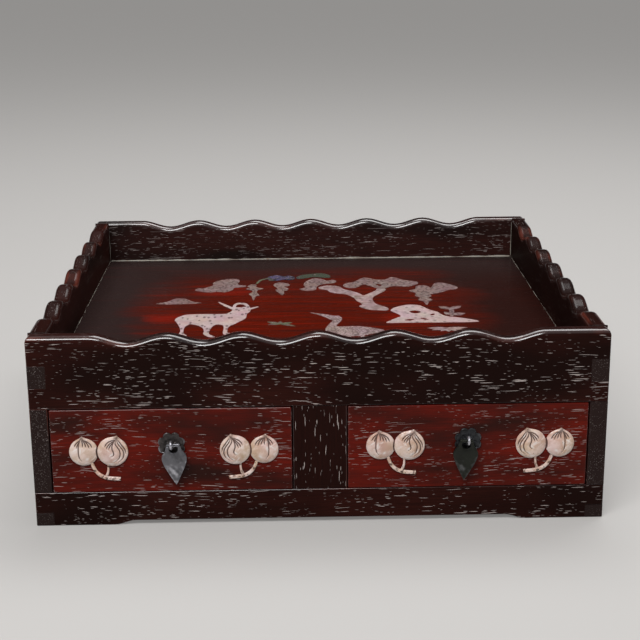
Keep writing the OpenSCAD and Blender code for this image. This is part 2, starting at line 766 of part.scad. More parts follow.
side_board(-1);  // left_side
side_board(1);  // right_side
front_board();
back_board();
bottom_rail();
centre_stile();
tray_panel();
base_board();
centre_partition();
guide(-1);  // left_guide
guide(1);  // right_guide
drawer_front(-1);  // left_drawer_front
drawer_side(-1, -1);  // left_drawer_left_side
drawer_side(-1, 1);  // left_drawer_right_side
drawer_back(-1);  // left_drawer_back
drawer_bottom(-1);  // left_drawer_bottom
drawer_peaches(-1);  // left_drawer_peaches
drawer_branches(-1);  // left_drawer_branches
pull_rosette(-1);  // left_pull_rosette
pull_cotter(-1);  // left_pull_cotter
pull_drop(-1);  // left_pull_drop
drawer_front(1);  // right_drawer_front
drawer_side(1, -1);  // right_drawer_left_side
drawer_side(1, 1);  // right_drawer_right_side
drawer_back(1);  // right_drawer_back
drawer_bottom(1);  // right_drawer_bottom
drawer_peaches(1);  // right_drawer_peaches
drawer_branches(1);  // right_drawer_branches
pull_rosette(1);  // right_pull_rosette
pull_cotter(1);  // right_pull_cotter
pull_drop(1);  // right_pull_drop
inlay(pearl) deer();  // deer_inlay
inlay(pearl) crane();  // crane_inlay
inlay(pearl) pine_trunk();  // pine_trunk_inlay
inlay(pearl) pine_foliage();  // pine_foliage_inlay
inlay(abalone) abalone_foliage();  // abalone_foliage_inlay
inlay(pearl) rock();  // rock_inlay
inlay(pearl) rock_plant();  // rock_plant_inlay
inlay(pearl) grass();  // grass_inlay
inlay(pearl) cloud();  // cloud_inlay
inlay(abalone) leaf_sprig();  // leaf_sprig_inlay
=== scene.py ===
"""Looks of a low tray box with two drawers, worked over its solid model.

The model is the frame: wooden boards get eased and polished edges, the shell peaches are carved,
the pulls are cast, wax lies in the joints, and every piece gets a finish of its own.
"""

import math

import bmesh
import bpy
import numpy as np
from bpy.props import FloatProperty, FloatVectorProperty, IntProperty, PointerProperty
from mathutils import Matrix, Vector, noise


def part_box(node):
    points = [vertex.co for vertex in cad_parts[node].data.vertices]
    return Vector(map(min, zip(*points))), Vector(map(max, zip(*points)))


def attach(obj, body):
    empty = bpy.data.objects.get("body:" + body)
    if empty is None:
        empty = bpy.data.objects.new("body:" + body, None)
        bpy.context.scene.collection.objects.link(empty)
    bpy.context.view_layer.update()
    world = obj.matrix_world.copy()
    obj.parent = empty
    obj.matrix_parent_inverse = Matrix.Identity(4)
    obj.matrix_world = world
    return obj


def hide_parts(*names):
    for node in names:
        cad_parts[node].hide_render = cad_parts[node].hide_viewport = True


bl_info = {
    "name": "Tray with drawers",
    "version": (1, 0, 0),
    "blender": (4, 5, 0),
    "location": "View3D > Sidebar > Tray",
    "description": "Makes the looks of a tray box with two drawers over its solid model",
    "category": "Object",
}

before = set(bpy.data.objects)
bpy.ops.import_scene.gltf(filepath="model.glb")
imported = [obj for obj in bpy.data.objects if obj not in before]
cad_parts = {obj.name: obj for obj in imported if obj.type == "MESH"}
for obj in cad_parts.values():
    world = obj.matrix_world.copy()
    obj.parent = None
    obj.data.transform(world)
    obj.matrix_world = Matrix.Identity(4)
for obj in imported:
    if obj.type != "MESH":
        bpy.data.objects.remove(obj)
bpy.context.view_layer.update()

MM = 0.001
WELD = 1e-6
TOUCH = 1e-5
FLAT_ANGLE = math.radians(0.2)
SHARP_ANGLE = math.radians(25)
SMOOTH_ANGLE = math.radians(35)
ROUND_STEPS = 4

FACE_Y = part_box("front_board")[0].y
INNER_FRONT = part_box("front_board")[1].y
INNER_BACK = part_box("back_board")[0].y
INNER_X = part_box("right_side")[0].x
PANEL_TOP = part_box("tray_panel")[1].z
RIM_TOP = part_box("front_board")[1].z
OPENING_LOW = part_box("bottom_rail")[1].z
OPENING_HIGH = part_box("front_board")[0].z
HANDS = ("left", "right")


def number(name, description, default, **more):
    """A number that a user may change."""
    return FloatProperty(name=name, description=description, default=default, **more)


def length(name, description, default_mm):
    """A size that a user may change, given in millimetres."""
    return number(name, description, default_mm * MM, unit="LENGTH", precision=5)


def whole(name, description, default, least):
    """A whole number that a user may change."""
    return IntProperty(name=name, description=description, default=default, min=least)


def colour(name, description, red, green, blue):
    """A linear colour that a user may change."""
    return FloatVectorProperty(
        name=name, description=description, default=(red, green, blue), subtype="COLOR", min=0, max=1
    )


class TrayWood(bpy.types.PropertyGroup):
    """Sizes and colours of the woodwork"""

    rim_round: length("Rim round", "Rounding of the waved rim", 3.0)
    arris_round: length("Arris round", "Rounding of the outer edges of the boards", 0.6)
    joint_round: length("Joint round", "Fine rounding beside the joints", 0.16)
    front_round: length("Drawer round", "Rounding of the drawer fronts", 0.9)
    inner_round: length("Inner round", "Rounding of the boards inside", 0.4)
    case_dark: colour("Case dark", "Darkest wood of the case", 0.0108, 0.0034, 0.0025)
    case_red: colour("Case red", "Reddest wood of the case", 0.038, 0.0085, 0.0060)
    worn: colour("Worn wood", "Wood rubbed through at the edges", 0.120, 0.026, 0.016)
    front_dark: colour("Front dark", "Darkest wood of the drawer fronts", 0.026, 0.0055, 0.0035)
    front_red: colour("Front red", "Reddest wood of the drawer fronts", 0.165, 0.0085, 0.0030)
    front_glow: colour("Front glow", "Brightest red of the drawer fronts", 0.215, 0.0100, 0.0030)
    # Panel shade and pore is painted shade along the borders of the tray panel, and also the colour of
    # its pores.
    panel_shade_and_pore: colour("Panel shade and pore", "Border of the tray panel", 0.021, 0.0064, 0.0050)
    panel_red: colour("Panel red", "Middle of the tray panel", 0.088, 0.0056, 0.0010)
    # Panel reflection is the colour of a painted reflection at the left and the back of the tray panel.
    panel_reflection: colour("Panel reflection", "Dull bloom on the tray panel", 0.026, 0.0160, 0.0150)
    panel_glow: colour("Panel glow", "Brightest red of the tray panel", 0.220, 0.0080, 0.0014)
    inner_dark: colour("Inner dark", "Darker wood inside the drawers", 0.078, 0.038, 0.020)
    inner_pale: colour("Inner pale", "Paler wood inside the drawers", 0.225, 0.125, 0.068)
    end_grain: colour("End grain", "Wood where the grain ends", 0.0270, 0.0170, 0.0155)
    pore: colour("Pore", "Pale wax in the pores of the wood", 0.76, 0.66, 0.625)
    wax: colour("Wax", "Wax in the joints of the tray", 0.36, 0.33, 0.28)


class TrayShell(bpy.types.PropertyGroup):
    """Sizes and colours of the shell ornaments"""

    peach_radius: length("Peach radius", "Radius of the peach nearer the pull", 8.5)
    far_radius: length("Other radius", "Radius of the other peach of a pair", 8.0)
    peach_pitch: length("Peach pitch", "Distance between the two peaches of a pair", 16.1)
    peach_line: length("Peach line", "Dark line between the two peaches of a pair", 0.4)
    peach_rise: length("Peach rise", "Height of a peach above the drawer front", 2.4)
    peach_edge: length("Peach edge", "Height of a peach at its edge", 0.6)
    crease_depth: length("Crease depth", "Depth of the carved creases", 0.35)
    valley_depth: length("Valley depth", "Depth of the soft valleys along the creases", 0.28)
    peach_grid: whole("Peach grid", "Faces across a peach", 124, 24)
    branch_round: length("Branch round", "Rounding of the branches", 0.5)
    pearl: colour("Pearl", "Pale shell", 0.90, 0.69, 0.615)
    cream: colour("Cream", "Cream shell", 0.63, 0.405, 0.29)
    # Gleam is the colour of the painted sheen and the painted highlights of the shell.
    gleam: colour("Gleam", "Brightest bands of the shell", 1.0, 0.94, 0.90)
    # Crease also colours the painted shadow where one peach covers the other.
    crease: colour("Crease", "Dirt in the carved lines", 0.082, 0.036, 0.026)
    inlay: colour("Inlay", "Shell of the picture", 0.42, 0.300, 0.300)
    inlay_pale: colour("Inlay pale", "Palest shell of the picture", 0.49, 0.365, 0.355)
    inlay_shade: colour("Inlay shade", "Greyer shell of the picture", 0.210, 0.132, 0.122)
    ink: colour("Ink", "Dark lines cut into the picture", 0.060, 0.030, 0.030)
    knot: colour("Knot", "Dark knots of the branches", 0.030, 0.018, 0.014)
    leaf: colour("Leaf", "Pale green sea-ear shell", 0.170, 0.190, 0.110)
    green: colour("Green", "Green of the sea-ear shell", 0.070, 0.095, 0.062)
    blue: colour("Blue", "Blue of the sea-ear shell", 0.022, 0.025, 0.050)
    violet: colour("Violet", "Violet of the sea-ear shell", 0.130, 0.105, 0.230)


class TrayMetal(bpy.types.PropertyGroup):
    """Sizes and colours of the pulls"""

    drop_pillow: length("Drop pillow", "Height of the raised middle of a drop", 0.75)
    pillow_reach: length("Pillow reach", "Distance over which the drop rises from its edge", 3.2)
    petal_rise: length("Petal rise", "Height of the petals of a rosette", 0.35)
    petals: whole("Petals", "Petals of a rosette", 8, 5)
    left_tone: colour("Left drop", "Metal of the left drop", 0.170, 0.170, 0.186)
    right_tone: colour("Right drop", "Metal of the right drop", 0.026, 0.028, 0.023)
    left_rose: colour("Left rosette", "Metal of the left rosette", 0.078, 0.069, 0.067)
    right_rose: colour("Right rosette", "Metal of the right rosette", 0.042, 0.044, 0.048)
    tarnish: colour("Tarnish", "Dark tarnish in the hollows", 0.020, 0.019, 0.018)
    # Worn metal is also the colour of the painted highlights of the pulls.
    worn: colour("Worn metal", "Bright worn metal", 0.72, 0.72, 0.78)


class TrayStage(bpy.types.PropertyGroup):
    """Floor, lamps and camera"""

    floor: colour("Floor", "Plain pale floor", 0.36, 0.35, 0.34)
    floor_glow: number("Floor glow", "Own light of the floor as seen", 0.5)
    horizon: number("Horizon", "Far background as seen", 0.275)
    world_low: number("World low", "Light near the horizon", 0.01)
    world_high: number("World high", "Light from above", 0.45)
    key_watts: number("Key", "Lamp in front and above", 24, unit="POWER")
    top_watts: number("Top", "Wide lamp behind and above", 14, unit="POWER")
    side_watts: number("Side", "Lamp at the right", 2, unit="POWER")
    lens: number("Lens", "Focal length", 77.96, unit="CAMERA")


class Value:
    """A number, colour or vector that changes over a surface: one output socket of a node."""

    def __init__(self, finish, socket):
        self.finish = finish
        self.socket = socket

    def other(self, name):
        """Another output of the same node."""
        return Value(self.finish, self.socket.node.outputs[name])

    def maths(self, operation, first, second=0.0):
        return self.finish.node("ShaderNodeMath", {"operation": operation}, {0: first, 1: second})

    def __add__(self, more):
        return self.maths("ADD", self, more)

    def __sub__(self, less):
        return self.maths("SUBTRACT", self, less)

    def __rsub__(self, start):
        return self.maths("SUBTRACT", start, self)

    def __mul__(self, times):
        return self.maths("MULTIPLY", self, times)

    def __truediv__(self, parts):
        return self.maths("DIVIDE", self, parts)

    def __abs__(self):
        return self.maths("ABSOLUTE", self)

    __radd__ = __add__
    __rmul__ = __mul__

    def most(self, other):
        return self.maths("MAXIMUM", self, other)

    def above(self, level):
        return self.maths("GREATER_THAN", self, level)

    def ease(self, low, high):
        """Rises smoothly from 0 at low to 1 at high."""
        return self.finish.node(
            "ShaderNodeMapRange",
            {"interpolation_type": "SMOOTHSTEP"},
            {"Value": self, "From Min": low, "From Max": high},
        )

    def axis(self, name):
        """One axis of a vector, or one channel of a colour used as a random number."""
        return self.finish.node("ShaderNodeSeparateXYZ", {}, {"Vector": self}, out=name)


class Finish:
    """A material, or the sky, while its nodes are being made."""

    def __init__(self, name, owner=None):
        self.material = owner or bpy.data.materials.new(name)
        self.material.use_nodes = True
        self.tree = self.material.node_tree
        self.tree.nodes.clear()
        self.place = self.pattern = self.node("ShaderNodeTexCoord", out="Object")

    def node(self, kind, settings=None, sockets=None, out=0):
        """Adds a node: its settings first, then the values or links of its sockets."""
        made = self.tree.nodes.new(kind)
        for name, value in (settings or {}).items():
            setattr(made, name, value)
        for name, value in (sockets or {}).items():
            socket = made.inputs[name]
            if isinstance(value, Value):
                self.tree.links.new(value.socket, socket)
            elif socket.type == "RGBA":
                socket.default_value = (*value[:3], 1.0)
            else:
                socket.default_value = value
        return Value(self, made.outputs[out]) if made.outputs else None

    def carried(self, name):
        """A number that the points of a mesh carry."""
        return self.node("ShaderNodeAttribute", {"attribute_name": name}, out="Fac")

    def vector(self, operation, first, second):
        return self.node("ShaderNodeVectorMath", {"operation": operation}, {0: first, 1: second})

    def cloud(self, scale, detail=3.0, rough=0.5, out=0, place=None):
        """Soft noise. Scale may differ along the three axes."""
        place = place or self.pattern
        if isinstance(scale, tuple):
            place, scale = self.vector("MULTIPLY", place, scale), 1.0
        sockets = {"Vector": place, "Scale": scale, "Detail": detail, "Roughness": rough}
        return self.node("ShaderNodeTexNoise", {}, sockets, out)

    def cells(self, sizes, feature="F1"):
        """Scattered points, one in each cell of the given sizes in millimetres; two sizes lie flat."""
        scales = [1 / (size * MM) for size in sizes]
        place = self.vector("MULTIPLY", self.pattern, tuple(scales + [0.0] * (3 - len(scales))))
        settings = {"voronoi_dimensions": f"{len(scales)}D", "feature": feature}
        sockets = {"Vector": place, "Scale": 1.0}
        return self.node("ShaderNodeTexVoronoi", settings, sockets, out="Distance")

    def mix(self, factor, first, second, blend="MIX"):
        return self.node(
            "ShaderNodeMix",
            {"data_type": "RGBA", "blend_type": blend},
            {0: factor, 6: first, 7: second},
            out=2,
        )

    def close(self, base, roughness, height=None, depth=0.1, **sockets):
        """Ends the material. Height gives the relief, whose depth is in millimetres."""
        surface = {"Base Color": base, "Roughness": roughness}
        surface.update({name.replace("_", " "): value for name, value in sockets.items()})
        if height is not None:
            relief = {"Height": height, "Distance": depth * MM, "Strength": 1.0}
            surface["Normal"] = self.node("ShaderNodeBump", {}, relief)
        shader = self.node("ShaderNodeBsdfPrincipled", {}, surface)
        self.node("ShaderNodeOutputMaterial", {}, {"Surface": shader})
        return self.material


GRAIN_TURN = {
    "X": (0.0, 0.0, 0.0),
    "Y": (0.0, 0.0, math.radians(-90)),
    "Z": (0.0, math.radians(90), 0.0),
}


class WoodFinish(Finish):
    """Open-pored wood as a solid: the same grain runs through every face of a board."""

    def __init__(self, name, grain):
        super().__init__(name)
        turn = {"Rotation": GRAIN_TURN[grain]}
        straight = self.node("ShaderNodeMapping", {}, {"Vector": self.place, **turn})
        straight = self.wander(straight, (6.0, 20.0, 20.0), 16.0)
        self.pattern = self.wander(straight, (90.0, 220.0, 220.0), 0.7)
        self.normal = normal = self.node("ShaderNodeNewGeometry", out="Normal")
        facing = self.node("ShaderNodeMapping", {"vector_type": "VECTOR"}, {"Vector": normal, **turn})
        upward = normal.axis("Z").ease(0.8, 0.95)
        x, y, z = (abs(facing.axis(name)) for name in "XYZ")
        self.end = x.ease(0.7, 0.92)
        self.edge = (1 - x.most(y).most(z)).ease(0.02, 0.12)
        self.polished = self.edge.most(upward)
        self.band = self.cloud((18.0, 85.0, 85.0), detail=2.0)
        self.crowd = 0.62 + 0.5 * self.band.ease(0.36, 0.62)
        self.fibre = self.cloud((45.0, 1500.0, 1500.0), rough=0.65)

    def wander(self, place, scale, reach):
        """Moves places across the grain, by at most half the reach in millimetres."""
        sway = self.cloud(scale, detail=2.0, out="Color", place=place)
        sway = self.vector("SUBTRACT", sway, (0.5, 0.5, 0.5))
        sway = self.vector("MULTIPLY", sway, (0.0, reach * MM, reach * MM))
        return self.vector("ADD", place, sway)

    def dashes(self, sizes, least, most, share):
        """Short strokes along the grain, of random length, kept in a share of the places."""
        near = self.cells(sizes)
        one, two, three = (near.other("Color").axis(name) for name in "XYZ")
        reach = (least + (most - least) * one) * self.crowd
        stroke = 1 - (near / reach).ease(0.72, 1.0)
        return stroke * (0.4 + 0.6 * two) * three.above(1 - share)

    def pores(self, amount):
        """Coarse, short and long pores together."""
        coarse = self.dashes((16.0, 0.62, 0.62), 0.12, 0.31, 0.95 * amount)
        short = self.dashes((5.5, 0.56, 0.56), 0.12, 0.31, 0.7 * amount) * 0.8
        long = self.dashes((54.0, 0.72, 0.72), 0.12, 0.26, 0.4 * amount) * 0.95
        return coarse.most(short).most(long)


def case_finish(name, grain, looks, amount=0.7, red=1.0, gloss=0.9, inner_shade=0.0, wear=0.0, haze=0.05):
    """Near-black wood, oiled and rubbed, with pale wax in its pores and a polished rim.

    Amount is the share of filled pores. Inner shade takes pale pores from the faces towards the middle
    of the tray, as painted shade on the inner walls. Gloss is the polish of the rim, and haze the dull
    shine of the flat faces. Wear rubs the left end.
    """
    wood = WoodFinish(name, grain)
    patch = wood.cloud((9.0, 28.0, 28.0), detail=2.0)
    base = wood.mix(patch.ease(0.37, 0.68) * red, looks.case_dark, looks.case_red)
    base = wood.mix((1 - wood.fibre).ease(0.35, 0.75) * 0.6, base, looks.case_dark)
    base = wood.mix(wood.end * 0.85, base, looks.end_grain)
    outward = wood.vector("MULTIPLY", wood.place, wood.normal)
    inward = -1 * (outward.axis("X") + outward.axis("Y"))
    # Painted shade: faces towards the middle of the tray keep fewer pale pores, so the inner walls read
    # darker.
    pores = wood.pores(amount) * (1 - 0.8 * wood.polished) * (1 - inner_shade * inward.ease(0.05, 0.12))
    base = wood.mix(pores * (1 - 0.55 * wood.end), base, looks.pore)
    left_end = 1 - wood.place.axis("X").ease(-INNER_X - 8 * MM, -INNER_X + 6 * MM)
    rubbed = wood.edge * wood.cloud(22.0, place=wood.place).ease(0.55, 0.72).most(left_end * wear)
    base = wood.mix(rubbed * 0.8, base, looks.worn)
    roughness = 0.44 + 0.25 * pores - 0.26 * wood.polished
    height = wood.fibre * (0.2 - 0.16 * wood.polished) - pores
    coat = {"Coat_Weight": gloss * wood.polished, "Coat_Roughness": 0.11, "Coat_IOR": 1.7}
    return wood.close(base, roughness, height, 0.12, Specular_IOR_Level=haze, **coat)


# Warm places: x and the other way across the face, then their reach both ways, in millimetres
FRONT_GLOWS = (
    (66, 53, 22, 8),
    (-64, 39, 26, 9),
    (-122, 60, 26, 7),
    (110, 40, 24, 8),
    (-100, 52, 14, 6),
)
PANEL_GLOWS = ((-97, -8, 17, 24), (-60, -18, 30, 22), (60, -20, 22, 18), (-62, 52, 26, 16))


def warmth(wood, other, glows):
    """How near a place is to the warm places of a face."""
    across, upright = wood.pattern.axis("X"), wood.pattern.axis(other)
    warm = None
    for x, y, reach_x, reach_y in glows:
        gap_x = (across - x * MM) / (reach_x * MM)
        gap_y = (upright - y * MM) / (reach_y * MM)
        near = 1 - (gap_x * gap_x + gap_y * gap_y).ease(0.0, 1.0)
        warm = near if warm is None else warm.most(near)
    return warm


def front_finish(name, looks):
    """Redder polished wood of the drawer fronts, glowing in patches."""
    wood = WoodFinish(name, "X")
    patch = wood.cloud((11.0, 42.0, 42.0), rough=0.6)
    base = wood.mix(patch.ease(0.32, 0.68), looks.front_dark, looks.front_red)
    warm = warmth(wood, "Z", FRONT_GLOWS) * patch.ease(0.3, 0.6)
    base = wood.mix(warm * 0.5, base, looks.front_glow)
    base = wood.mix((1 - wood.fibre).ease(0.35, 0.75) * 0.55, base, looks.front_dark)
    base = wood.mix(wood.end * 0.8, base, looks.end_grain)
    pores = wood.pores(0.62) * 0.65
    base = wood.mix(pores, base, looks.pore)
    roughness = 0.36 + 0.25 * pores - 0.16 * wood.edge
    height = wood.fibre * 0.2 - pores
    coat = {"Coat_Weight": 0.05 + 0.35 * wood.edge, "Coat_Roughness": 0.12, "Coat_IOR": 1.6}
    return wood.close(base, roughness, height, 0.1, Specular_IOR_Level=0.07, **coat)


def panel_finish(name, looks):
    """Polished red wood of the tray, with painted shade along its borders and a painted reflection at
    the left and the back.
    """
    low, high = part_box("tray_panel")
    middle, half = (low + high) / 2, (high - low) / 2
    wood = WoodFinish(name, "X")
    spread = wood.cloud((10.0, 34.0, 34.0), rough=0.6)
    right = (wood.place.axis("X") - middle.x) / half.x
    across = (right + 0.03) * (right + 0.03)
    back = (wood.place.axis("Y") - middle.y) / half.y
    # Painted shade: the panel darkens away from its middle towards its borders.
    away = 1.6 * across * across + 0.95 * back * back + (spread - 0.5) * 0.9
    glow = 1 - away.ease(0.0, 0.75)
    # Painted reflection: a dull grey at the left and the back, mixed into the painted shade of the
    # border.
    painted_reflection = (-1 * right).ease(0.3, 0.95).most(back.ease(0.3, 0.95))
    border_shade = wood.mix(painted_reflection * 0.9, looks.panel_shade_and_pore, looks.panel_reflection)
    base = wood.mix(glow, border_shade, looks.panel_red)
    warm = warmth(wood, "Y", PANEL_GLOWS) * spread.ease(0.35, 0.65)
    base = wood.mix(warm * 0.7, base, looks.panel_glow)
    base = wood.mix((1 - wood.fibre).ease(0.4, 0.75) * 0.55, base, border_shade)
    streak = wood.cloud((16.0, 210.0, 210.0), detail=4.0, rough=0.6)
    base = wood.mix((1 - streak).ease(0.46, 0.64) * 0.45, base, border_shade)
    base = wood.mix(streak.ease(0.56, 0.7) * (0.04 + 0.3 * glow), base, looks.panel_glow)
    pores = wood.pores(0.7)
    base = wood.mix(pores * 0.5, base, looks.panel_shade_and_pore)
    roughness = 0.2 + 0.12 * pores + 0.06 * spread
    coat = {"Coat_Weight": 0.02, "Coat_Roughness": 0.08}
    return wood.close(base, roughness, -1 * pores, 0.04, Specular_IOR_Level=0.025, **coat)


def inner_finish(name, grain, looks):
    """Plain brown wood inside the drawers, planed and left bare."""
    wood = WoodFinish(name, grain)
    base = wood.mix(wood.band.ease(0.3, 0.7), looks.inner_dark, looks.inner_pale)
    streak = wood.cloud((12.0, 330.0, 330.0), detail=5.0, rough=0.65)
    base = wood.mix((1 - streak).ease(0.44, 0.62) * 0.65, base, looks.inner_dark)
    base = wood.mix(streak.ease(0.54, 0.68) * 0.6, base, looks.inner_pale)
    base = wood.mix((1 - wood.fibre).ease(0.35, 0.75) * 0.5, base, looks.inner_dark)
    pores = wood.pores(0.9)
    base = wood.mix(pores * 0.85, base, looks.case_red)
    base = wood.mix(wood.end * 0.5, base, looks.inner_dark)
    roughness = 0.6 - 0.12 * wood.edge
    return wood.close(base, roughness, wood.fibre * 0.4 - pores, 0.1, Specular_IOR_Level=0.3)


def wax_finish(name, looks):
    """Old wax in the joints, dull and a little dirty."""
    finish = Finish(name)
    dirt = finish.cloud(420.0, detail=4.0, rough=0.6)
    stain = finish.cloud(60.0, detail=2.0)
    base = finish.mix(dirt.ease(0.5, 0.78) * 0.6, looks.wax, looks.inner_pale)
    base = finish.mix(stain.ease(0.55, 0.72) * 0.5, base, looks.inner_dark)
    return finish.close(base, 0.5 + 0.2 * dirt, dirt, 0.1, Subsurface_Weight=0.05)


def shell_finish(name, tint, shade, marks, mark_colour, looks, sheen_bands=0.6, coat=0.55, gloss=0.5):
    """Mother of pearl: pale and cloudy, with painted sheen in bands and painted highlights where the
    mesh carries gleam, and dark marks where marks says.
    """
    finish = Finish(name)
    cloud = finish.cloud(130.0, detail=4.0, rough=0.6)
    layer = finish.cloud((190.0, 330.0, 330.0), detail=2.0, rough=0.4)
    slant = finish.node("ShaderNodeMapping", {}, {"Vector": finish.place, "Rotation": (0.0, 0.7, 0.3)})
    band = finish.cloud((160.0, 420.0, 620.0), detail=2.0, place=slant)
    hue = finish.cloud(75.0, detail=1.0, out="Color")
    gleam = finish.carried("gleam")
    base = finish.mix(cloud.ease(0.36, 0.68), tint, shade)
    base = finish.mix(layer.ease(0.5, 0.62) * 0.25, base, shade)
    base = finish.mix(0.16, base, hue, "OVERLAY")
    # Painted sheen: bright bands towards the gleam colour; then painted highlights where the mesh
    # carries gleam.
    bright = finish.mix(0.5, tint, looks.gleam)
    base = finish.mix(band.ease(0.54, 0.66) * sheen_bands, base, bright)
    base = finish.mix(gleam, base, looks.gleam)
    dark = marks(finish)
    base = finish.mix(dark, base, mark_colour)
    roughness = 0.24 + 0.16 * cloud + 0.3 * dark
    shine = {"Specular_IOR_Level": gloss, "Coat_Weight": coat, "Coat_Roughness": 0.09}
    return finish.close(base, roughness, layer * 0.2 - dark, 0.06, **shine)


def carved_marks(finish):
    """Dirt in the creases and a painted shadow beside the covering peach, with a little grime at the tip
    and in small pits.
    """
    crease = finish.carried("crease")
    tip = finish.carried("grime")
    pit = finish.cells((2.6, 2.6, 2.6))
    speck = (1 - pit.ease(0.05, 0.14)) * pit.other("Color").axis("X").above(0.8)
    smudge = tip * (0.4 + 0.5 * finish.cloud(900.0).ease(0.3, 0.6))
    return (crease.ease(0.1, 0.55) * 0.92).most(smudge).most(speck * 0.7)


def speckle_marks(finish):
    """Soft dark spots, as on a dappled coat."""
    near = finish.cells((3.9, 8.6))
    one, two = (near.other("Color").axis(name) for name in "XY")
    spot = 1 - (near / (0.22 + 0.12 * one)).ease(0.5, 1.0)
    return spot * two.above(0.2) * 0.75


def mottle_marks(finish):
    """Grey clouds and a few small hollows, as of weathered stone or bark."""
    near = finish.cells((5.5, 6.5))
    hollow = (1 - near.ease(0.12, 0.24)) * near.other("Color").axis("X").above(0.55)
    stain = finish.cloud((230.0, 120.0, 120.0), detail=4.0, rough=0.65)
    return (stain.ease(0.5, 0.72) * 0.45).most(hollow * 0.6)


def net_marks(finish):
    """A net of fine engraved lines, as of feathers."""
    line = finish.cells((2.4, 2.0, 2.0), "DISTANCE_TO_EDGE")
    return (1 - line.ease(0.05, 0.16)) * 0.75


def vein_marks(finish):
    """Curved engraved lines that follow each other round many middles."""
    near = finish.cells((7.0, 9.0))
    wobble = finish.cloud(300.0)
    wave = finish.node("ShaderNodeMath", {"operation": "SINE"}, {0: near * 13.0 + wobble * 8.0})
    return wave.ease(0.2, 0.9) * (0.4 + 0.7 * wobble)


def crag_marks(finish):
    """Broken cracks of a branch."""
    near = finish.cells((5.0, 5.0, 5.0), "DISTANCE_TO_EDGE")
    breaks = finish.cloud(190.0)
    return (1 - near.ease(0.03, 0.1)) * breaks.ease(0.45, 0.6) * 0.8


def sea_ear_finish(name, first, second, third, looks):
    """Iridescent sea-ear shell: two colours in swirls, and a third towards the right."""
    finish = Finish(name)
    swirl = finish.cloud(150.0, rough=0.6)
    sheen = finish.cloud(420.0, detail=2.0)
    right = finish.place.axis("X") + (swirl - 0.5) * 40 * MM
    base = finish.mix(swirl.ease(0.44, 0.58), first, second)
    base = finish.mix(right.ease(-16 * MM, -8 * MM), base, third)
    base = finish.mix(1 - right.ease(-36 * MM, -30 * MM), base, looks.leaf)
    # Painted sheen: pale patches of the inlay colour.
    base = finish.mix(sheen.ease(0.6, 0.72) * 0.6, base, looks.inlay)
    vein = finish.cells((3.2, 3.2, 3.2), "DISTANCE_TO_EDGE")
    dark = (1 - vein.ease(0.03, 0.14)) * 0.7
    base = finish.mix(dark, base, looks.knot)
    coat = {"Coat_Weight": 0.3, "Coat_Roughness": 0.1}
    return finish.close(base, 0.24 + 0.3 * dark, -1 * dark, 0.05, Metallic=0.2, **coat)


def knot_finish(name, looks):
    """Dark brown knots."""
    finish = Finish(name)
    grain = finish.cloud(1400.0)
    base = finish.mix(grain.ease(0.35, 0.7) * 0.6, looks.knot, looks.cream)
    return finish.close(base, 0.5, grain, 0.08)


def pull_finish(name, tone, rub_and_highlight, looks):
    """Old white metal: tarnished in its hollows, rubbed bright where hands touch it, and brightened by
    painted highlights where the mesh carries them.
    """
    finish = Finish(name)
    stain = finish.cloud(170.0, detail=4.0, rough=0.6)
    grit = finish.cloud(1500.0, rough=0.6)
    # Raised carries wear and painted highlights.
    raised = finish.carried("raised")
    base = finish.mix(stain.ease(0.45, 0.7) * (1 - raised) * 0.7, tone, looks.tarnish)
    shine = raised.ease(0.5, 1.0) * (0.5 + 0.5 * grit.ease(0.35, 0.6))
    base = finish.mix(shine * rub_and_highlight, base, looks.worn)
    base = finish.mix(grit.ease(0.62, 0.78) * 0.35, base, looks.tarnish)
    roughness = 0.3 + 0.2 * stain - 0.12 * shine
    return finish.close(base, roughness, grit * 0.5 + stain, 0.07, Metallic=0.85)


def paint(nodes, material):
    """Gives CAD nodes that stay as they are their finish."""
    for name in nodes:
        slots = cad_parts[name].material_slots
        if not slots:
            raise RuntimeError(f"{name} has no material slot")
        for slot in slots:
            slot.material = material


def merged(node):
    """A copy of a CAD node's mesh, with its loose triangles joined into whole faces."""
    bm = bmesh.new()
    bm.from_mesh(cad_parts[node].data)
    bmesh.ops.remove_doubles(bm, verts=bm.verts, dist=WELD)
    bmesh.ops.dissolve_limit(bm, angle_limit=FLAT_ANGLE, verts=bm.verts, edges=bm.edges)
    return bm


def put(name, data):
    """Puts a new object into the scene."""
    made = bpy.data.objects.new(name, data)
    bpy.context.scene.collection.objects.link(made)
    return made


def mesh_of(bm, name, material):
    """The mesh of a finished bmesh, with its material."""
    mesh = bpy.data.meshes.new(name)
    bm.to_mesh(mesh)
    bm.free()
    mesh.materials.append(material)
    return mesh


def cut(bm, place, normal):
    """Cuts all faces along a plane, and keeps both sides."""
    geometry = bm.verts[:] + bm.edges[:] + bm.faces[:]
    bmesh.ops.bisect_plane(bm, geom=geometry, plane_co=place, plane_no=normal)


def finish_piece(bm, name, body, material, nodes=()):
    """Makes the object of a finished mesh, and says what it rides on and stands for."""
    mesh = mesh_of(bm, name, material)
    mesh.shade_smooth()
    mesh.set_sharp_from_angle(angle=SMOOTH_ANGLE)
    piece = put(name, mesh)
    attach(piece, body)
    if nodes:
        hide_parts(*nodes)
    return piece


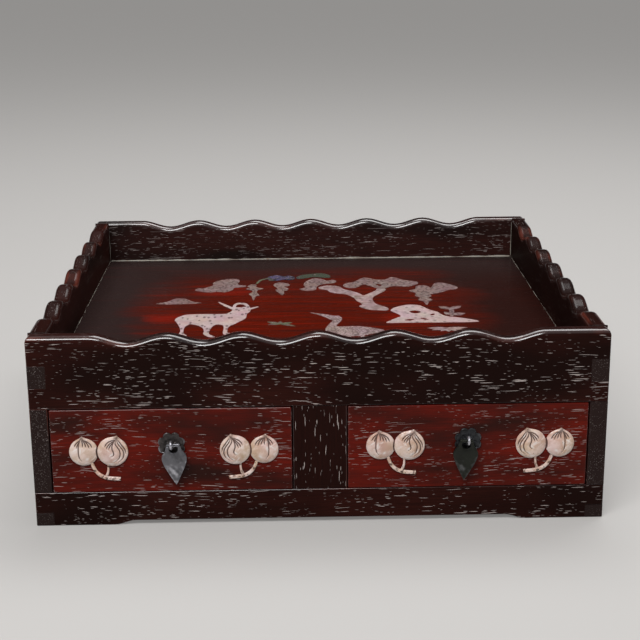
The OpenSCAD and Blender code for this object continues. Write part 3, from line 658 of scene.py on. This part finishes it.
def eased_piece(node, body, material, widest, width_of, split=()):
    """A copy of a CAD board with rounded edges, each by the width that width_of gives.

    Split names the planes across x at which the board is cut first, so that a round can end there.
    """
    bm = merged(node)
    low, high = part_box(node)
    for plane_x in split:
        cut(bm, (plane_x, 0, 0), (1, 0, 0))
    weight = bm.edges.layers.float.new("bevel_weight_edge")
    for edge in bm.edges:
        if len(edge.link_faces) == 2 and edge.is_convex and edge.calc_face_angle() > SHARP_ANGLE:
            edge[weight] = width_of(edge, low, high) / widest
    piece = finish_piece(bm, f"eased_{node}", body, material, [node])
    bevel = piece.modifiers.new("Rounded edges", "BEVEL")
    bevel.limit_method = "WEIGHT"
    bevel.width = widest
    bevel.segments = ROUND_STEPS
    bevel.use_clamp_overlap = False
    flat = piece.modifiers.new("Flat faces", "WEIGHTED_NORMAL")
    flat.keep_sharp = True
    return piece


def middle_of(edge):
    return (edge.verts[0].co + edge.verts[1].co) / 2


def sides_touched(point, low, high):
    """How many sides of a box a point lies on."""
    return sum(abs(point[i] - side[i]) < TOUCH for i in range(3) for side in (low, high))


def box_arris(width):
    """Rounds only the edges along the outside of a board."""

    def width_of(edge, low, high):
        return width if sides_touched(middle_of(edge), low, high) >= 2 else 0.0

    return width_of


RIM_DEPTH = 7 * MM
LEVEL = 0.8
UPRIGHT = 0.9


def case_edge(looks, outward):
    """Rounds a case board: its rim most, its arrises less, and its joints hardly."""

    def on_rim(edge, point):
        wall, top = sorted(edge.link_faces, key=lambda face: face.normal.z)
        if point.z < RIM_TOP - RIM_DEPTH or top.normal.z < LEVEL:
            return False
        if outward == "X":
            return abs(wall.normal.x) > UPRIGHT
        inside = wall.normal.y * outward < -UPRIGHT
        return not inside or abs(point.x) < INNER_X

    def width_of(edge, low, high):
        point = middle_of(edge)
        if on_rim(edge, point):
            return looks.rim_round
        inner_side = outward == "X" and abs(abs(point.x) - INNER_X) < TOUCH
        if inner_side and not OPENING_LOW < point.z < OPENING_HIGH:
            return looks.joint_round
        below = min(face.normal.z for face in edge.link_faces) < -LEVEL
        if sides_touched(point, low, high) >= 2 or (below and point.z < OPENING_LOW / 2):
            return looks.arris_round
        return looks.joint_round

    return width_of


CORNER_GAP = 0.2 * MM


class TRAY_OT_case(bpy.types.Operator):
    """Make the boards of the case, with a rounded rim and eased arrises"""

    bl_idname = "tray.case"
    bl_label = "Case boards"

    def execute(self, context):
        looks = context.scene.tray_wood
        along = {
            "X": case_finish("board wood", "X", looks, wear=0.8),
            # The back board gets a redder, lighter copy of the board wood: painted light on the back
            # wall.
            "back": case_finish("back wood", "X", looks, red=1.6, haze=0.4, inner_shade=0.45),
            "Y": case_finish("side wood", "Y", looks, amount=0.5, red=0.6, gloss=0.15, inner_shade=0.8),
            "Z": case_finish("stile wood", "Z", looks, amount=0.36, red=0.35),
        }
        rim = looks.rim_round
        seam = INNER_X - CORNER_GAP
        for node, grain, outward, split in (
            ("front_board", "X", -1, (-seam, seam)),
            ("back_board", "back", 1, (-seam, seam)),
            ("left_side", "Y", "X", ()),
            ("right_side", "Y", "X", ()),
            ("bottom_rail", "X", -1, ()),
            ("centre_stile", "Z", -1, ()),
        ):
            width_of = case_edge(looks, outward)
            eased_piece(node, "case", along[grain], rim, width_of, split)
        inner = looks.inner_round
        for node, grain in (
            ("base_board", "X"),
            ("centre_partition", "Y"),
            ("left_guide", "Y"),
            ("right_guide", "Y"),
        ):
            eased_piece(node, "case", along[grain], inner, box_arris(inner))
        return {"FINISHED"}


LEAF_INLAYS = ["pine_foliage_inlay", "rock_plant_inlay", "cloud_inlay"]


class TRAY_OT_panel(bpy.types.Operator):
    """Finish the tray panel and the shell picture let into it"""

    bl_idname = "tray.panel"
    bl_label = "Panel and picture"

    def execute(self, context):
        shell = context.scene.tray_shell
        paint(["tray_panel"], panel_finish("polished red panel", context.scene.tray_wood))
        flat = {"sheen_bands": 0.3, "coat": 0.1, "gloss": 0.3}
        for name, marks, nodes, tint, shade in (
            ("dappled shell", speckle_marks, ["deer_inlay"], shell.inlay, shell.inlay_pale),
            ("feathered shell", net_marks, ["crane_inlay"], shell.inlay, shell.inlay_shade),
            ("bark shell", mottle_marks, ["pine_trunk_inlay"], shell.inlay, shell.inlay_shade),
            ("rock shell", mottle_marks, ["rock_inlay"], shell.inlay, shell.inlay_pale),
            ("leaf shell", vein_marks, LEAF_INLAYS, shell.inlay_shade, shell.inlay_shade),
            ("grass shell", mottle_marks, ["grass_inlay"], shell.inlay, shell.inlay_shade),
        ):
            paint(nodes, shell_finish(name, tint, shade, marks, shell.ink, shell, **flat))
        cool = (shell.blue, shell.violet, shell.green)
        paint(["abalone_foliage_inlay"], sea_ear_finish("blue sea-ear shell", *cool, shell))
        fresh = (shell.leaf, shell.inlay_shade, shell.leaf)
        paint(["leaf_sprig_inlay"], sea_ear_finish("green sea-ear shell", *fresh, shell))
        return {"FINISHED"}


DRAWER_BOARDS = (("left_side", "Y"), ("right_side", "Y"), ("back", "X"), ("bottom", "X"))


class TRAY_OT_drawers(bpy.types.Operator):
    """Make the boards of both drawers"""

    bl_idname = "tray.drawers"
    bl_label = "Drawers"

    def execute(self, context):
        looks = context.scene.tray_wood
        front = front_finish("red drawer front", looks)
        along = {g: inner_finish(f"drawer wood along {g.lower()}", g, looks) for g in "XY"}
        outer, inner = looks.front_round, looks.inner_round
        for hand in HANDS:
            drawer = f"{hand}_drawer"
            node = f"{drawer}_front"
            eased_piece(node, drawer, front, outer, box_arris(outer))
            for board, grain in DRAWER_BOARDS:
                node = f"{drawer}_{board}"
                eased_piece(node, drawer, along[grain], inner, box_arris(inner))
        return {"FINISHED"}


def smooth_path(points, count):
    """Points at even steps on a smooth curve through a few points."""
    padded = [points[0], *points, points[-1]]
    curve = []
    for i in range(count):
        place = i / (count - 1) * (len(points) - 1)
        k = min(int(place), len(points) - 2)
        u = place - k
        a, b, c, d = (np.array(p, float) for p in padded[k : k + 4])
        bend = 2 * a - 5 * b + 4 * c - d
        twist = 3 * b - a - 3 * c + d
        curve.append(0.5 * (2 * b + (c - a) * u + bend * u**2 + twist * u**3))
    return np.array(curve)


# Creases in units of a peach's radius: x towards the pull, z up
NEAR_CREASES = [
    [(0.25, 0.9), (0.09, 0.68), (0.0, 0.46), (-0.01, 0.22), (0.07, -0.02), (0.06, -0.2), (-0.06, -0.31)],
    [(0.27, 0.9), (0.2, 0.6), (0.35, 0.32), (0.47, 0.1), (0.49, -0.16), (0.4, -0.46), (0.18, -0.65)],
    [(0.29, 0.9), (0.38, 0.58), (0.56, 0.32), (0.69, 0.08), (0.73, -0.18), (0.63, -0.48), (0.38, -0.7)],
    [(0.36, 0.84), (0.62, 0.46), (0.8, 0.18), (0.87, -0.12)],
    [(0.2, 0.86), (-0.18, 0.73), (-0.4, 0.55), (-0.49, 0.38)],
    [(0.2, 0.84), (-0.12, 0.62), (-0.3, 0.42), (-0.38, 0.26)],
    [(0.21, 0.82), (-0.04, 0.57), (-0.16, 0.4), (-0.23, 0.22)],
]
FAR_CREASES = [
    [(-0.16, 0.98), (-0.24, 0.78), (-0.31, 0.5), (-0.34, 0.18)]
    + [(-0.33, -0.18), (-0.27, -0.43), (-0.14, -0.63)],
    [(-0.18, 0.9), (-0.46, 0.68), (-0.63, 0.42)],
    [(-0.2, 0.86), (-0.36, 0.6), (-0.45, 0.34)],
    [(-0.08, 0.92), (-0.03, 0.68), (-0.04, 0.43)],
    [(-0.02, 0.92), (0.12, 0.66), (0.21, 0.4)],
    [(0.05, 0.9), (0.3, 0.62), (0.42, 0.34)],
    [(0.12, 0.88), (0.46, 0.64), (0.62, 0.36)],
]
CREASE_WIDTH = 0.036
VALLEY_WIDTH = 0.11
CREASE_STEPS = 40
PEACH_POINT = 0.11
GRIME_REACH = 0.19
PEACH_FOOT = 0.8 * MM
# Painted highlights (gleams), in the same units: x, z, half length, half width, turn in degrees and
# strength
NEAR_GLEAMS = [
    (-0.05, -0.14, 0.17, 0.045, 38, 0.95),
    (0.14, -0.58, 0.16, 0.05, 32, 0.9),
    (0.50, -0.40, 0.13, 0.05, 55, 0.8),
    (-0.11, -0.82, 0.28, 0.07, 0, 0.85),
    (-0.27, 0.13, 0.13, 0.03, -40, 0.7),
    (0.50, 0.56, 0.22, 0.04, -48, 0.8),
    (-0.20, 0.84, 0.22, 0.04, 25, 0.5),
]
FAR_GLEAMS = [
    (-0.21, 0.10, 0.22, 0.05, 82, 0.95),
    (0.25, -0.47, 0.14, 0.09, 40, 0.8),
    (-0.57, 0.22, 0.2, 0.045, 35, 0.75),
    (-0.44, -0.75, 0.22, 0.06, -35, 0.75),
    (0.45, 0.66, 0.2, 0.05, -40, 0.5),
]


# Lean of the tip, creases and gleams of the peach nearer the pull, and of the other one
NEAR_PEACH = (math.radians(15), NEAR_CREASES, NEAR_GLEAMS)
FAR_PEACH = (math.radians(-5), FAR_CREASES, FAR_GLEAMS)


def gleam_at(points, gleams):
    """How bright the gleams are at points, from 0 to 1."""
    bright = np.zeros(len(points))
    for x, z, along, across, turn, strength in gleams:
        cos, sin = math.cos(math.radians(turn)), math.sin(math.radians(turn))
        gap_x, gap_z = points[:, 0] - x, points[:, 1] - z
        run, side = gap_x * cos + gap_z * sin, gap_z * cos - gap_x * sin
        bright = np.maximum(bright, strength * np.exp(-((run / along) ** 2) - (side / across) ** 2))
    return bright


def crease_depth_at(points, creases, width):
    """How deep the creases are at points, from 0 to 1."""
    deep = np.zeros(len(points))
    for crease in creases:
        line = smooth_path(crease, CREASE_STEPS)
        share = np.linspace(0, 1, CREASE_STEPS)
        body = np.clip(np.minimum(0.6 + share * 2, 0.3 + (1 - share) * 3), 0.6, 1)
        gap = np.hypot(points[:, None, 0] - line[None, :, 0], points[:, None, 1] - line[None, :, 1])
        wide = width * body[None, :]
        deep = np.maximum(deep, (body[None, :] * np.exp(-((gap / wide) ** 2))).max(axis=1))
    return deep


def peach_outline(angle, lean):
    """Radius of a peach in units of its own: round, with a drawn-out tip that leans."""
    from_tip = np.abs((angle - (math.pi / 2 - lean) + math.pi) % (2 * math.pi) - math.pi)
    touch = math.acos(1 / (1 + PEACH_POINT))
    tip = np.where(from_tip < touch, 1 / np.cos(touch - np.minimum(from_tip, touch)), 1.0)
    return tip + 0.03 * np.exp(-((from_tip / 0.1) ** 2))


def carve_peach(bm, looks, layers, middle, hand, radius, lean, creases, gleams, over=None):
    """Adds a domed peach with carved creases. Over is the middle of a peach that covers its side."""
    cells = looks.peach_grid
    made = bmesh.ops.create_grid(bm, x_segments=cells, y_segments=cells, size=1.0)["verts"]
    square = np.array([vert.co[:2] for vert in made])
    disc = square * np.sqrt(1 - square[:, ::-1] ** 2 / 2)
    rho = np.hypot(disc[:, 0], disc[:, 1])
    angle = np.arctan2(disc[:, 1], disc[:, 0])
    flat = disc * peach_outline(angle, lean)[:, None]
    deep = crease_depth_at(flat, creases, CREASE_WIDTH)
    valley = crease_depth_at(flat, creases, VALLEY_WIDTH)
    dome = np.clip(1 - rho**2.3, 0, 1) ** 0.7
    rise = looks.peach_edge + (looks.peach_rise - looks.peach_edge) * dome
    rise = rise - looks.crease_depth * deep - looks.valley_depth * valley * dome
    tip_gap = np.hypot(flat[:, 0] - math.sin(lean), flat[:, 1] - math.cos(lean))
    grime = np.exp(-((tip_gap / GRIME_REACH) ** 2))
    # Painted highlight: the lower rim of the dome is brightened and carried with the gleams.
    shine = np.exp(-(((1 - rho) / 0.1) ** 2)) * np.clip(0.2 - 1.2 * np.sin(angle), 0, 1)
    gleam = np.maximum(gleam_at(flat, gleams), 0.5 * shine)
    flat *= radius
    if over:
        clear = np.hypot(flat[:, 0] - over, flat[:, 1]) - looks.peach_radius - looks.peach_line
        rise = np.where(clear < 0, -looks.peach_edge, rise)
        # Painted shadow: a dark line on this peach beside the edge of the peach that covers it, carried
        # in the crease layer.
        deep = np.maximum(deep, np.exp(-((np.maximum(clear, 0) / looks.peach_line) ** 2)))
    for vert, (x, z), up, *marks in zip(made, flat, rise, deep, grime, gleam):
        vert.co = (middle.x + hand * x, middle.y - up, middle.z + z)
        for layer, mark in zip(layers, marks):
            vert[layer] = mark
    rim = [edge for edge in bm.edges if edge.is_boundary]
    skirt = bmesh.ops.extrude_edge_only(bm, edges=rim)["geom"]
    for vert in (item for item in skirt if isinstance(item, bmesh.types.BMVert)):
        vert.co.y = middle.y + PEACH_FOOT
    bmesh.ops.edgeloop_fill(bm, edges=[edge for edge in bm.edges if edge.is_boundary])


def pair_places(node, looks):
    """The middles of both pairs of a drawer front, each with the side that its pull is on."""
    low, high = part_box(node)
    inset = looks.far_radius + looks.peach_pitch / 2
    z = low.z + looks.peach_radius
    return ((Vector((low.x + inset, FACE_Y, z)), 1), (Vector((high.x - inset, FACE_Y, z)), -1))


KNOT_RISE = 0.72 * MM
KNOT_TURN = 0.5
KNOT_SHAPE = (1.3, 0.45, 0.8, 1)
# Knots of a branch: x in pitches of the pair, z in radii of the nearer peach, and size in millimetres
KNOTS = (
    (0.24, -1.84, 0.85),
    (0.08, -1.74, 0.5),
    (0.36, -1.88, 0.5),
    (0.70, -1.95, 0.5),
    (-0.14, -1.30, 0.8),
)


class TRAY_OT_ornaments(bpy.types.Operator):
    """Carve the shell peaches of the drawer fronts and their forked branches"""

    bl_idname = "tray.ornaments"
    bl_label = "Shell peaches"

    def execute(self, context):
        looks = context.scene.tray_shell
        shell, bark = (
            shell_finish(name, looks.pearl, looks.cream, marks, looks.crease, looks)
            for name, marks in (("carved shell", carved_marks), ("branch shell", crag_marks))
        )
        knot = knot_finish("branch knots", looks)
        for hand in HANDS:
            drawer = f"{hand}_drawer"
            node = f"{drawer}_peaches"
            bm = bmesh.new()
            layers = [bm.verts.layers.float.new(name) for name in ("crease", "grime", "gleam")]
            knots = bmesh.new()
            for middle, side in pair_places(node, looks):
                half = Vector((side * looks.peach_pitch / 2, 0, 0))
                for place, *kind in (
                    (middle + half, looks.peach_radius, *NEAR_PEACH),
                    (middle - half, looks.far_radius, *FAR_PEACH, looks.peach_pitch),
                ):
                    carve_peach(bm, looks, layers, place, side, *kind)
                self.add_knots(knots, looks, middle, side)
            bmesh.ops.recalc_face_normals(bm, faces=bm.faces)
            finish_piece(bm, f"carved_{node}", drawer, shell, [node])
            finish_piece(knots, f"{drawer}_branch_knots", drawer, knot)
            self.add_branches(looks, drawer, bark)
        return {"FINISHED"}

    def add_branches(self, looks, drawer, bark):
        def width_of(edge, low, high):
            facing = min(face.normal.y for face in edge.link_faces)
            return looks.branch_round if facing < -UPRIGHT else 0.0

        node = f"{drawer}_branches"
        eased_piece(node, drawer, bark, looks.branch_round, width_of)

    def add_knots(self, bm, looks, middle, side):
        radius, pitch = looks.peach_radius, looks.peach_pitch
        for x, z, size in KNOTS:
            place = middle + Vector((side * x * pitch, -KNOT_RISE, z * radius))
            turn = Matrix.Translation(place) @ Matrix.Rotation(side * KNOT_TURN, 4, "Y")
            shape = turn @ Matrix.Diagonal(KNOT_SHAPE)
            bmesh.ops.create_icosphere(bm, subdivisions=3, radius=size * MM, matrix=shape)


def ring(bm, centre, axis, section, steps):
    """A closed section of (radius, height) points turned about an axis."""
    across = axis.orthogonal().normalized()
    verts = [bm.verts.new(centre + across * radius + axis * height) for radius, height in section]
    edges = [bm.edges.new((verts[i - 1], verts[i])) for i in range(len(verts))]
    turn = {"axis": axis, "angle": 2 * math.pi, "steps": steps, "use_merge": True}
    bmesh.ops.spin(bm, geom=verts + edges, cent=centre, **turn)


# Section of a rosette, from its hole along the back and over the face: shares of radius and thickness
ROSETTE_SECTION = (
    *((0.13, 0), (1.0, 0), (1.0, 0.55), (0.97, 0.72), (0.92, 0.72), (0.86, 0.5), (0.78, 0.52)),
    *((0.66, 0.66), (0.54, 0.62), (0.46, 0.5), (0.38, 0.62), (0.28, 0.85), (0.2, 1.0), (0.13, 1.0)),
)
PETAL_STEPS = 24
DROP_STEP = 0.5 * MM
FACING = 0.999
# Painted highlight spot and shoulder line of a drop, in millimetres from its tip: to the right, and up
HIGHLIGHT_PLACE = (-1.4, 8.0)
HIGHLIGHT_SLANT = (0.64, 0.77)
HIGHLIGHT_REACH = (2.3, 1.0)
SHOULDER_UP = 12.4
SHOULDER_SLOPE = 0.2
SHOULDER_REACH = 0.9


class TRAY_OT_pulls(bpy.types.Operator):
    """Cast the pulls: petalled rosettes, cotters and raised drops"""

    bl_idname = "tray.pulls"
    bl_label = "Drop pulls"

    def execute(self, context):
        looks = context.scene.tray_metal
        for hand, tone, rose, rub_and_highlight in (
            ("left", looks.left_tone, looks.left_rose, 0.75),
            ("right", looks.right_tone, looks.right_rose, 0.12),
        ):
            self.add_rosette(looks, hand, pull_finish(f"{hand} rosette metal", rose, 0.5 * rub_and_highlight, looks))
            self.add_drop(looks, hand, pull_finish(f"{hand} drop metal", tone, rub_and_highlight, looks))
            paint([f"{hand}_pull_cotter"], pull_finish(f"{hand} cotter metal", looks.worn, rub_and_highlight, looks))
        return {"FINISHED"}

    def add_rosette(self, looks, hand, metal):
        node = f"{hand}_pull_rosette"
        low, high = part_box(node)
        centre = Vector(((low.x + high.x) / 2, high.y, (low.z + high.z) / 2))
        half_turn = math.pi / looks.petals
        petal_share = 1.15 * math.sin(half_turn) / (1 + math.sin(half_turn))
        across = (1 - petal_share) * math.cos(half_turn) + petal_share
        radius, thick = (high.z - low.z) / 2 / across, high.y - low.y
        petal = petal_share * radius
        reach = radius - petal
        rise = looks.petal_rise
        section = [(r * radius, h * thick) for r, h in ROSETTE_SECTION]
        bm = bmesh.new()
        ring(bm, centre, Vector((0, -1, 0)), section, PETAL_STEPS * looks.petals)
        layer = bm.verts.layers.float.new("raised")
        for vert in bm.verts:
            flat = Vector((vert.co.x - centre.x, vert.co.z - centre.z))
            out = flat.length / radius
            turn = math.atan2(flat.y, flat.x) * looks.petals / (2 * math.pi)
            away = (turn - math.floor(turn) - 0.5) * 2 * math.pi / looks.petals
            edge = reach * math.cos(away) + math.sqrt(max(petal**2 - (reach * math.sin(away)) ** 2, 0))
            share = edge / radius
            scale = 1 + (share - 1) * min(1.0, out) ** 2
            vert.co.x = centre.x + flat.x * scale
            vert.co.z = centre.z + flat.y * scale
            height = centre.y - vert.co.y
            if height > 0.1 * thick:
                bulge = math.cos(away * looks.petals / 2) * math.sin(math.pi * min(1.0, out)) * rise
                lump = noise.noise(vert.co * 520) * 0.16 * MM
                vert.co.y -= bulge + lump * min(1.0, out * 1.5)
            # Raised: wear in noisy patches, and a brighter rim that is partly wear and partly a painted
            # highlight along the petal edges.
            patch = noise.noise(vert.co * 240 + Vector((0, 0, 4)))
            vert[layer] = min(1.0, max(0.0, 0.3 + 0.9 * patch + 0.35 * (out > 0.9)))
        bmesh.ops.recalc_face_normals(bm, faces=bm.faces)
        finish_piece(bm, f"cast_{node}", f"{hand}_drawer", metal, [node])

    def add_drop(self, looks, hand, metal):
        node = f"{hand}_pull_drop"
        low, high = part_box(node)
        bm = merged(node)
        for axis in (0, 2):
            for i in range(1, int((high[axis] - low[axis]) / DROP_STEP) + 1):
                place, normal = [0, 0, 0], [0, 0, 0]
                place[axis], normal[axis] = low[axis] + i * DROP_STEP, 1
                cut(bm, place, normal)
        layer = bm.verts.layers.float.new("raised")
        face_y = self.widest_level(bm)
        front = {v for v in bm.verts if abs(v.co.y - face_y) < TOUCH}
        outline = [
            edge
            for edge in bm.edges
            if all(vert in front for vert in edge.verts) and edge.calc_face_angle(0) > SHARP_ANGLE
        ]
        rim = np.array([middle_of(edge) for edge in outline])
        tip = min(front, key=lambda vert: vert.co.z).co.copy()
        for vert in front:
            gap = np.hypot(rim[:, 0] - vert.co.x, rim[:, 2] - vert.co.z).min()
            share = min(1.0, gap / looks.pillow_reach)
            dome = math.sqrt(1 - (1 - share) ** 2)
            lump = noise.noise(vert.co * 280) * 0.3 + noise.noise(vert.co * 800) * 0.06
            side, above = (vert.co.x - tip.x) / MM, (vert.co.z - tip.z) / MM
            gap_x, gap_z = side - HIGHLIGHT_PLACE[0], above - HIGHLIGHT_PLACE[1]
            run = (HIGHLIGHT_SLANT[0] * gap_x - HIGHLIGHT_SLANT[1] * gap_z) / HIGHLIGHT_REACH[0]
            off = (HIGHLIGHT_SLANT[1] * gap_x + HIGHLIGHT_SLANT[0] * gap_z) / HIGHLIGHT_REACH[1]
            spot = math.exp(-(run**2) - off**2)
            past = (above - SHOULDER_UP - SHOULDER_SLOPE * side) / SHOULDER_REACH
            ridge = math.exp(-(past**2))
            # Painted highlight: a bright spot, a light line along the shoulder, and lighter metal below
            # the shoulder and at the edges, with wear in noisy patches.
            tone = 0.4 - 0.1 * math.tanh(past) + 0.3 * noise.noise(vert.co * 560)
            tone += 0.7 * spot + 0.12 * ridge + 0.3 * (1 - dome)
            vert[layer] = min(1.0, max(0.0, tone))
            vert.co.y -= looks.drop_pillow * dome * (0.8 + lump + 0.35 * spot + 0.1 * ridge)
        finish_piece(bm, f"cast_{node}", f"{hand}_drop", metal, [node])

    def widest_level(self, bm):
        """The level of the widest flat face that looks to the front."""
        areas = {}
        for face in bm.faces:
            if face.normal.y < -FACING:
                level = round(face.calc_center_median().y, 5)
                areas[level] = areas.get(level, 0.0) + face.calc_area()
        return max(areas, key=areas.get)


WAX_WIDTH = 0.62 * MM
WAX_LEAST = 0.02 * MM
WAX_SINK = 0.06 * MM
WAX_STEP = 1.2 * MM
WAX_BELOW_RIM = 2.2 * MM
WAX_SECTION = ((0, 0), (1, 0), (0.42, 0.42), (0, 1), (0, 0))


def wax_run(bm, start, end, first, second, width, seed):
    """A thin uneven fillet of wax along a joint between two walls, whose directions are given."""
    steps = max(8, int((end - start).length / WAX_STEP))
    rows = len(WAX_SECTION) - 1
    made = bmesh.ops.create_grid(bm, x_segments=steps, y_segments=rows, size=0.5)["verts"]
    for vert in made:
        share = vert.co.x + 0.5
        row = round((vert.co.y + 0.5) * rows)
        place = start.lerp(end, share)
        size = width * (0.75 + 0.55 * noise.noise(place * 130 + Vector((seed, 0, 0))))
        size += width * 1.3 * max(0.0, noise.noise(place * 45 + Vector((0, seed, 0))) - 0.42)
        size *= min(1.0, share * steps, (1 - share) * steps)
        size = max(size, WAX_LEAST)
        a, b = WAX_SECTION[row]
        vert.co = place + first * (a * size - WAX_SINK) + second * (b * size - WAX_SINK)


class TRAY_OT_wax(bpy.types.Operator):
    """Lay the old wax in the joints between the panel and the walls"""

    bl_idname = "tray.wax"
    bl_label = "Wax in the joints"

    def execute(self, context):
        material = wax_finish("joint wax", context.scene.tray_wood)
        bm = bmesh.new()
        right, back, up = Vector((1, 0, 0)), Vector((0, 1, 0)), Vector((0, 0, 1))
        corners = {
            (x, y): Vector((x * INNER_X, INNER_BACK if y > 0 else INNER_FRONT, PANEL_TOP))
            for x in (-1, 1)
            for y in (-1, 1)
        }
        for start, end, wall, share, seed in (
            ((-1, 1), (1, 1), -back, 1.6, 3.1),
            ((-1, -1), (1, -1), back, 1.0, 7.7),
            ((-1, -1), (-1, 1), right, 0.5, 12.3),
            ((1, -1), (1, 1), -right, 0.5, 17.9),
        ):
            wax_run(bm, corners[start], corners[end], up, wall, share * WAX_WIDTH, seed)
        rise = up * (RIM_TOP - PANEL_TOP - WAX_BELOW_RIM)
        for (x, y), foot in corners.items():
            wax_run(bm, foot, foot + rise, right * -x, back * -y, 0.7 * WAX_WIDTH, 5 * x + y)
        bmesh.ops.remove_doubles(bm, verts=bm.verts, dist=WELD)
        bmesh.ops.recalc_face_normals(bm, faces=bm.faces)
        finish_piece(bm, "joint_wax", "case", material)
        return {"FINISHED"}


def shown_rays(finish):
    """Tells the rays that show the background, straight, mirrored or through glass."""
    rays = finish.node("ShaderNodeLightPath", out="Is Camera Ray")
    return rays.most(rays.other("Is Glossy Ray")).most(rays.other("Is Transmission Ray"))


# Place and size of each lamp in metres, and the setting of its power
LAMPS = {
    "key lamp": ((-0.45, -1.10, 1.45), (1.2, 0.5), "key_watts"),
    "top lamp": ((0.3, 0.55, 1.45), (1.2, 0.7), "top_watts"),
    "side lamp": ((1.3, -0.35, 0.75), (0.7, 0.7), "side_watts"),
}
LAMP_AIM = Vector((0, 0, 0.05))
FLOOR_HALF = 9.0
FLOOR_GAP = 0.05 * MM
CAMERA_PLACE = (-0.0138, FACE_Y - 0.7209, 0.330)
# Turn to the right, tilt down and roll, in degrees
CAMERA_TURN = (1.14, 16.32, -0.45)
SENSOR = 36.0


class TRAY_OT_stage(bpy.types.Operator):
    """Set up the floor, the lamps and the camera"""

    bl_idname = "tray.stage"
    bl_label = "Stage"

    def execute(self, context):
        looks = context.scene.tray_stage
        self.add_floor(looks)
        self.add_world(context.scene, looks)
        for name, (place, size, watts) in LAMPS.items():
            self.add_lamp(name, Vector(place), size, getattr(looks, watts))
        self.add_camera(context.scene, looks)
        context.scene.view_settings.view_transform = "Standard"
        return {"FINISHED"}

    def add_floor(self, looks):
        finish = Finish("plain floor")
        seen = shown_rays(finish) * looks.floor_glow
        glow = finish.node("ShaderNodeEmission", {}, {"Color": looks.floor, "Strength": seen})
        cloth = finish.node("ShaderNodeBsdfDiffuse", {}, {"Color": looks.floor})
        both = finish.node("ShaderNodeAddShader", {}, {0: cloth, 1: glow})
        finish.node("ShaderNodeOutputMaterial", {}, {"Surface": both})
        bm = bmesh.new()
        bmesh.ops.create_grid(bm, x_segments=1, y_segments=1, size=FLOOR_HALF)
        bmesh.ops.translate(bm, verts=bm.verts, vec=(0, 0, -FLOOR_GAP))
        floor = put("floor", mesh_of(bm, "floor", finish.material))

    def add_world(self, scene, looks):
        sky = Finish("studio", bpy.data.worlds.new("studio"))
        height = sky.place.other("Generated").axis("Z")
        light = looks.world_low + (looks.world_high - looks.world_low) * height.ease(0.25, 0.95)
        light = light.most(shown_rays(sky) * (1 - height.ease(0.02, 0.14)) * looks.horizon)
        shader = sky.node("ShaderNodeBackground", {}, {"Color": (1.0, 1.0, 1.0), "Strength": light})
        sky.node("ShaderNodeOutputWorld", {}, {"Surface": shader})
        scene.world = sky.material

    def add_lamp(self, name, place, size, watts):
        data = bpy.data.lights.new(name, "AREA")
        data.shape = "RECTANGLE"
        data.size, data.size_y = size
        data.energy = watts
        lamp = put(name, data)
        lamp.location = place
        lamp.rotation_euler = (LAMP_AIM - place).to_track_quat("-Z", "Y").to_euler()

    def add_camera(self, scene, looks):
        yaw, pitch, roll = (math.radians(angle) for angle in CAMERA_TURN)
        flat = math.cos(pitch)
        forward = Vector((math.sin(yaw) * flat, math.cos(yaw) * flat, -math.sin(pitch)))
        level = forward.cross(Vector((0, 0, 1))).normalized()
        upright = level.cross(forward)
        right = math.cos(roll) * level + math.sin(roll) * upright
        up = right.cross(forward)
        data = bpy.data.cameras.new("camera")
        data.lens = looks.lens
        data.sensor_width = SENSOR
        camera = put("camera", data)
        turn = Matrix((right, up, -forward)).transposed().to_4x4()
        camera.matrix_world = Matrix.Translation(CAMERA_PLACE) @ turn
        scene.camera = camera


class TRAY_PT_looks(bpy.types.Panel):
    """Lists the steps that make the tray's looks"""

    bl_label = "Tray with drawers"
    bl_idname = "TRAY_PT_looks"
    bl_space_type = "VIEW_3D"
    bl_region_type = "UI"
    bl_category = "Tray"

    def draw(self, context):
        for operator in OPERATORS:
            self.layout.operator(operator.bl_idname)
        for name in GROUPS:
            group = getattr(context.scene, name)
            box = self.layout.box()
            for key in group.__annotations__:
                box.prop(group, key)


GROUPS = {
    "tray_wood": TrayWood,
    "tray_shell": TrayShell,
    "tray_metal": TrayMetal,
    "tray_stage": TrayStage,
}
OPERATORS = (
    TRAY_OT_case,
    TRAY_OT_panel,
    TRAY_OT_drawers,
    TRAY_OT_ornaments,
    TRAY_OT_pulls,
    TRAY_OT_wax,
    TRAY_OT_stage,
)
CLASSES = (*GROUPS.values(), *OPERATORS, TRAY_PT_looks)


def register():
    for cls in CLASSES:
        bpy.utils.register_class(cls)
    for name, cls in GROUPS.items():
        setattr(bpy.types.Scene, name, PointerProperty(type=cls))


def unregister():
    for name in GROUPS:
        delattr(bpy.types.Scene, name)
    for cls in reversed(CLASSES):
        bpy.utils.unregister_class(cls)


def main():
    register()
    bpy.ops.tray.case()
    bpy.ops.tray.panel()
    bpy.ops.tray.drawers()
    bpy.ops.tray.ornaments()
    bpy.ops.tray.pulls()
    bpy.ops.tray.wax()
    bpy.ops.tray.stage()


if __name__ == "__main__":
    main()
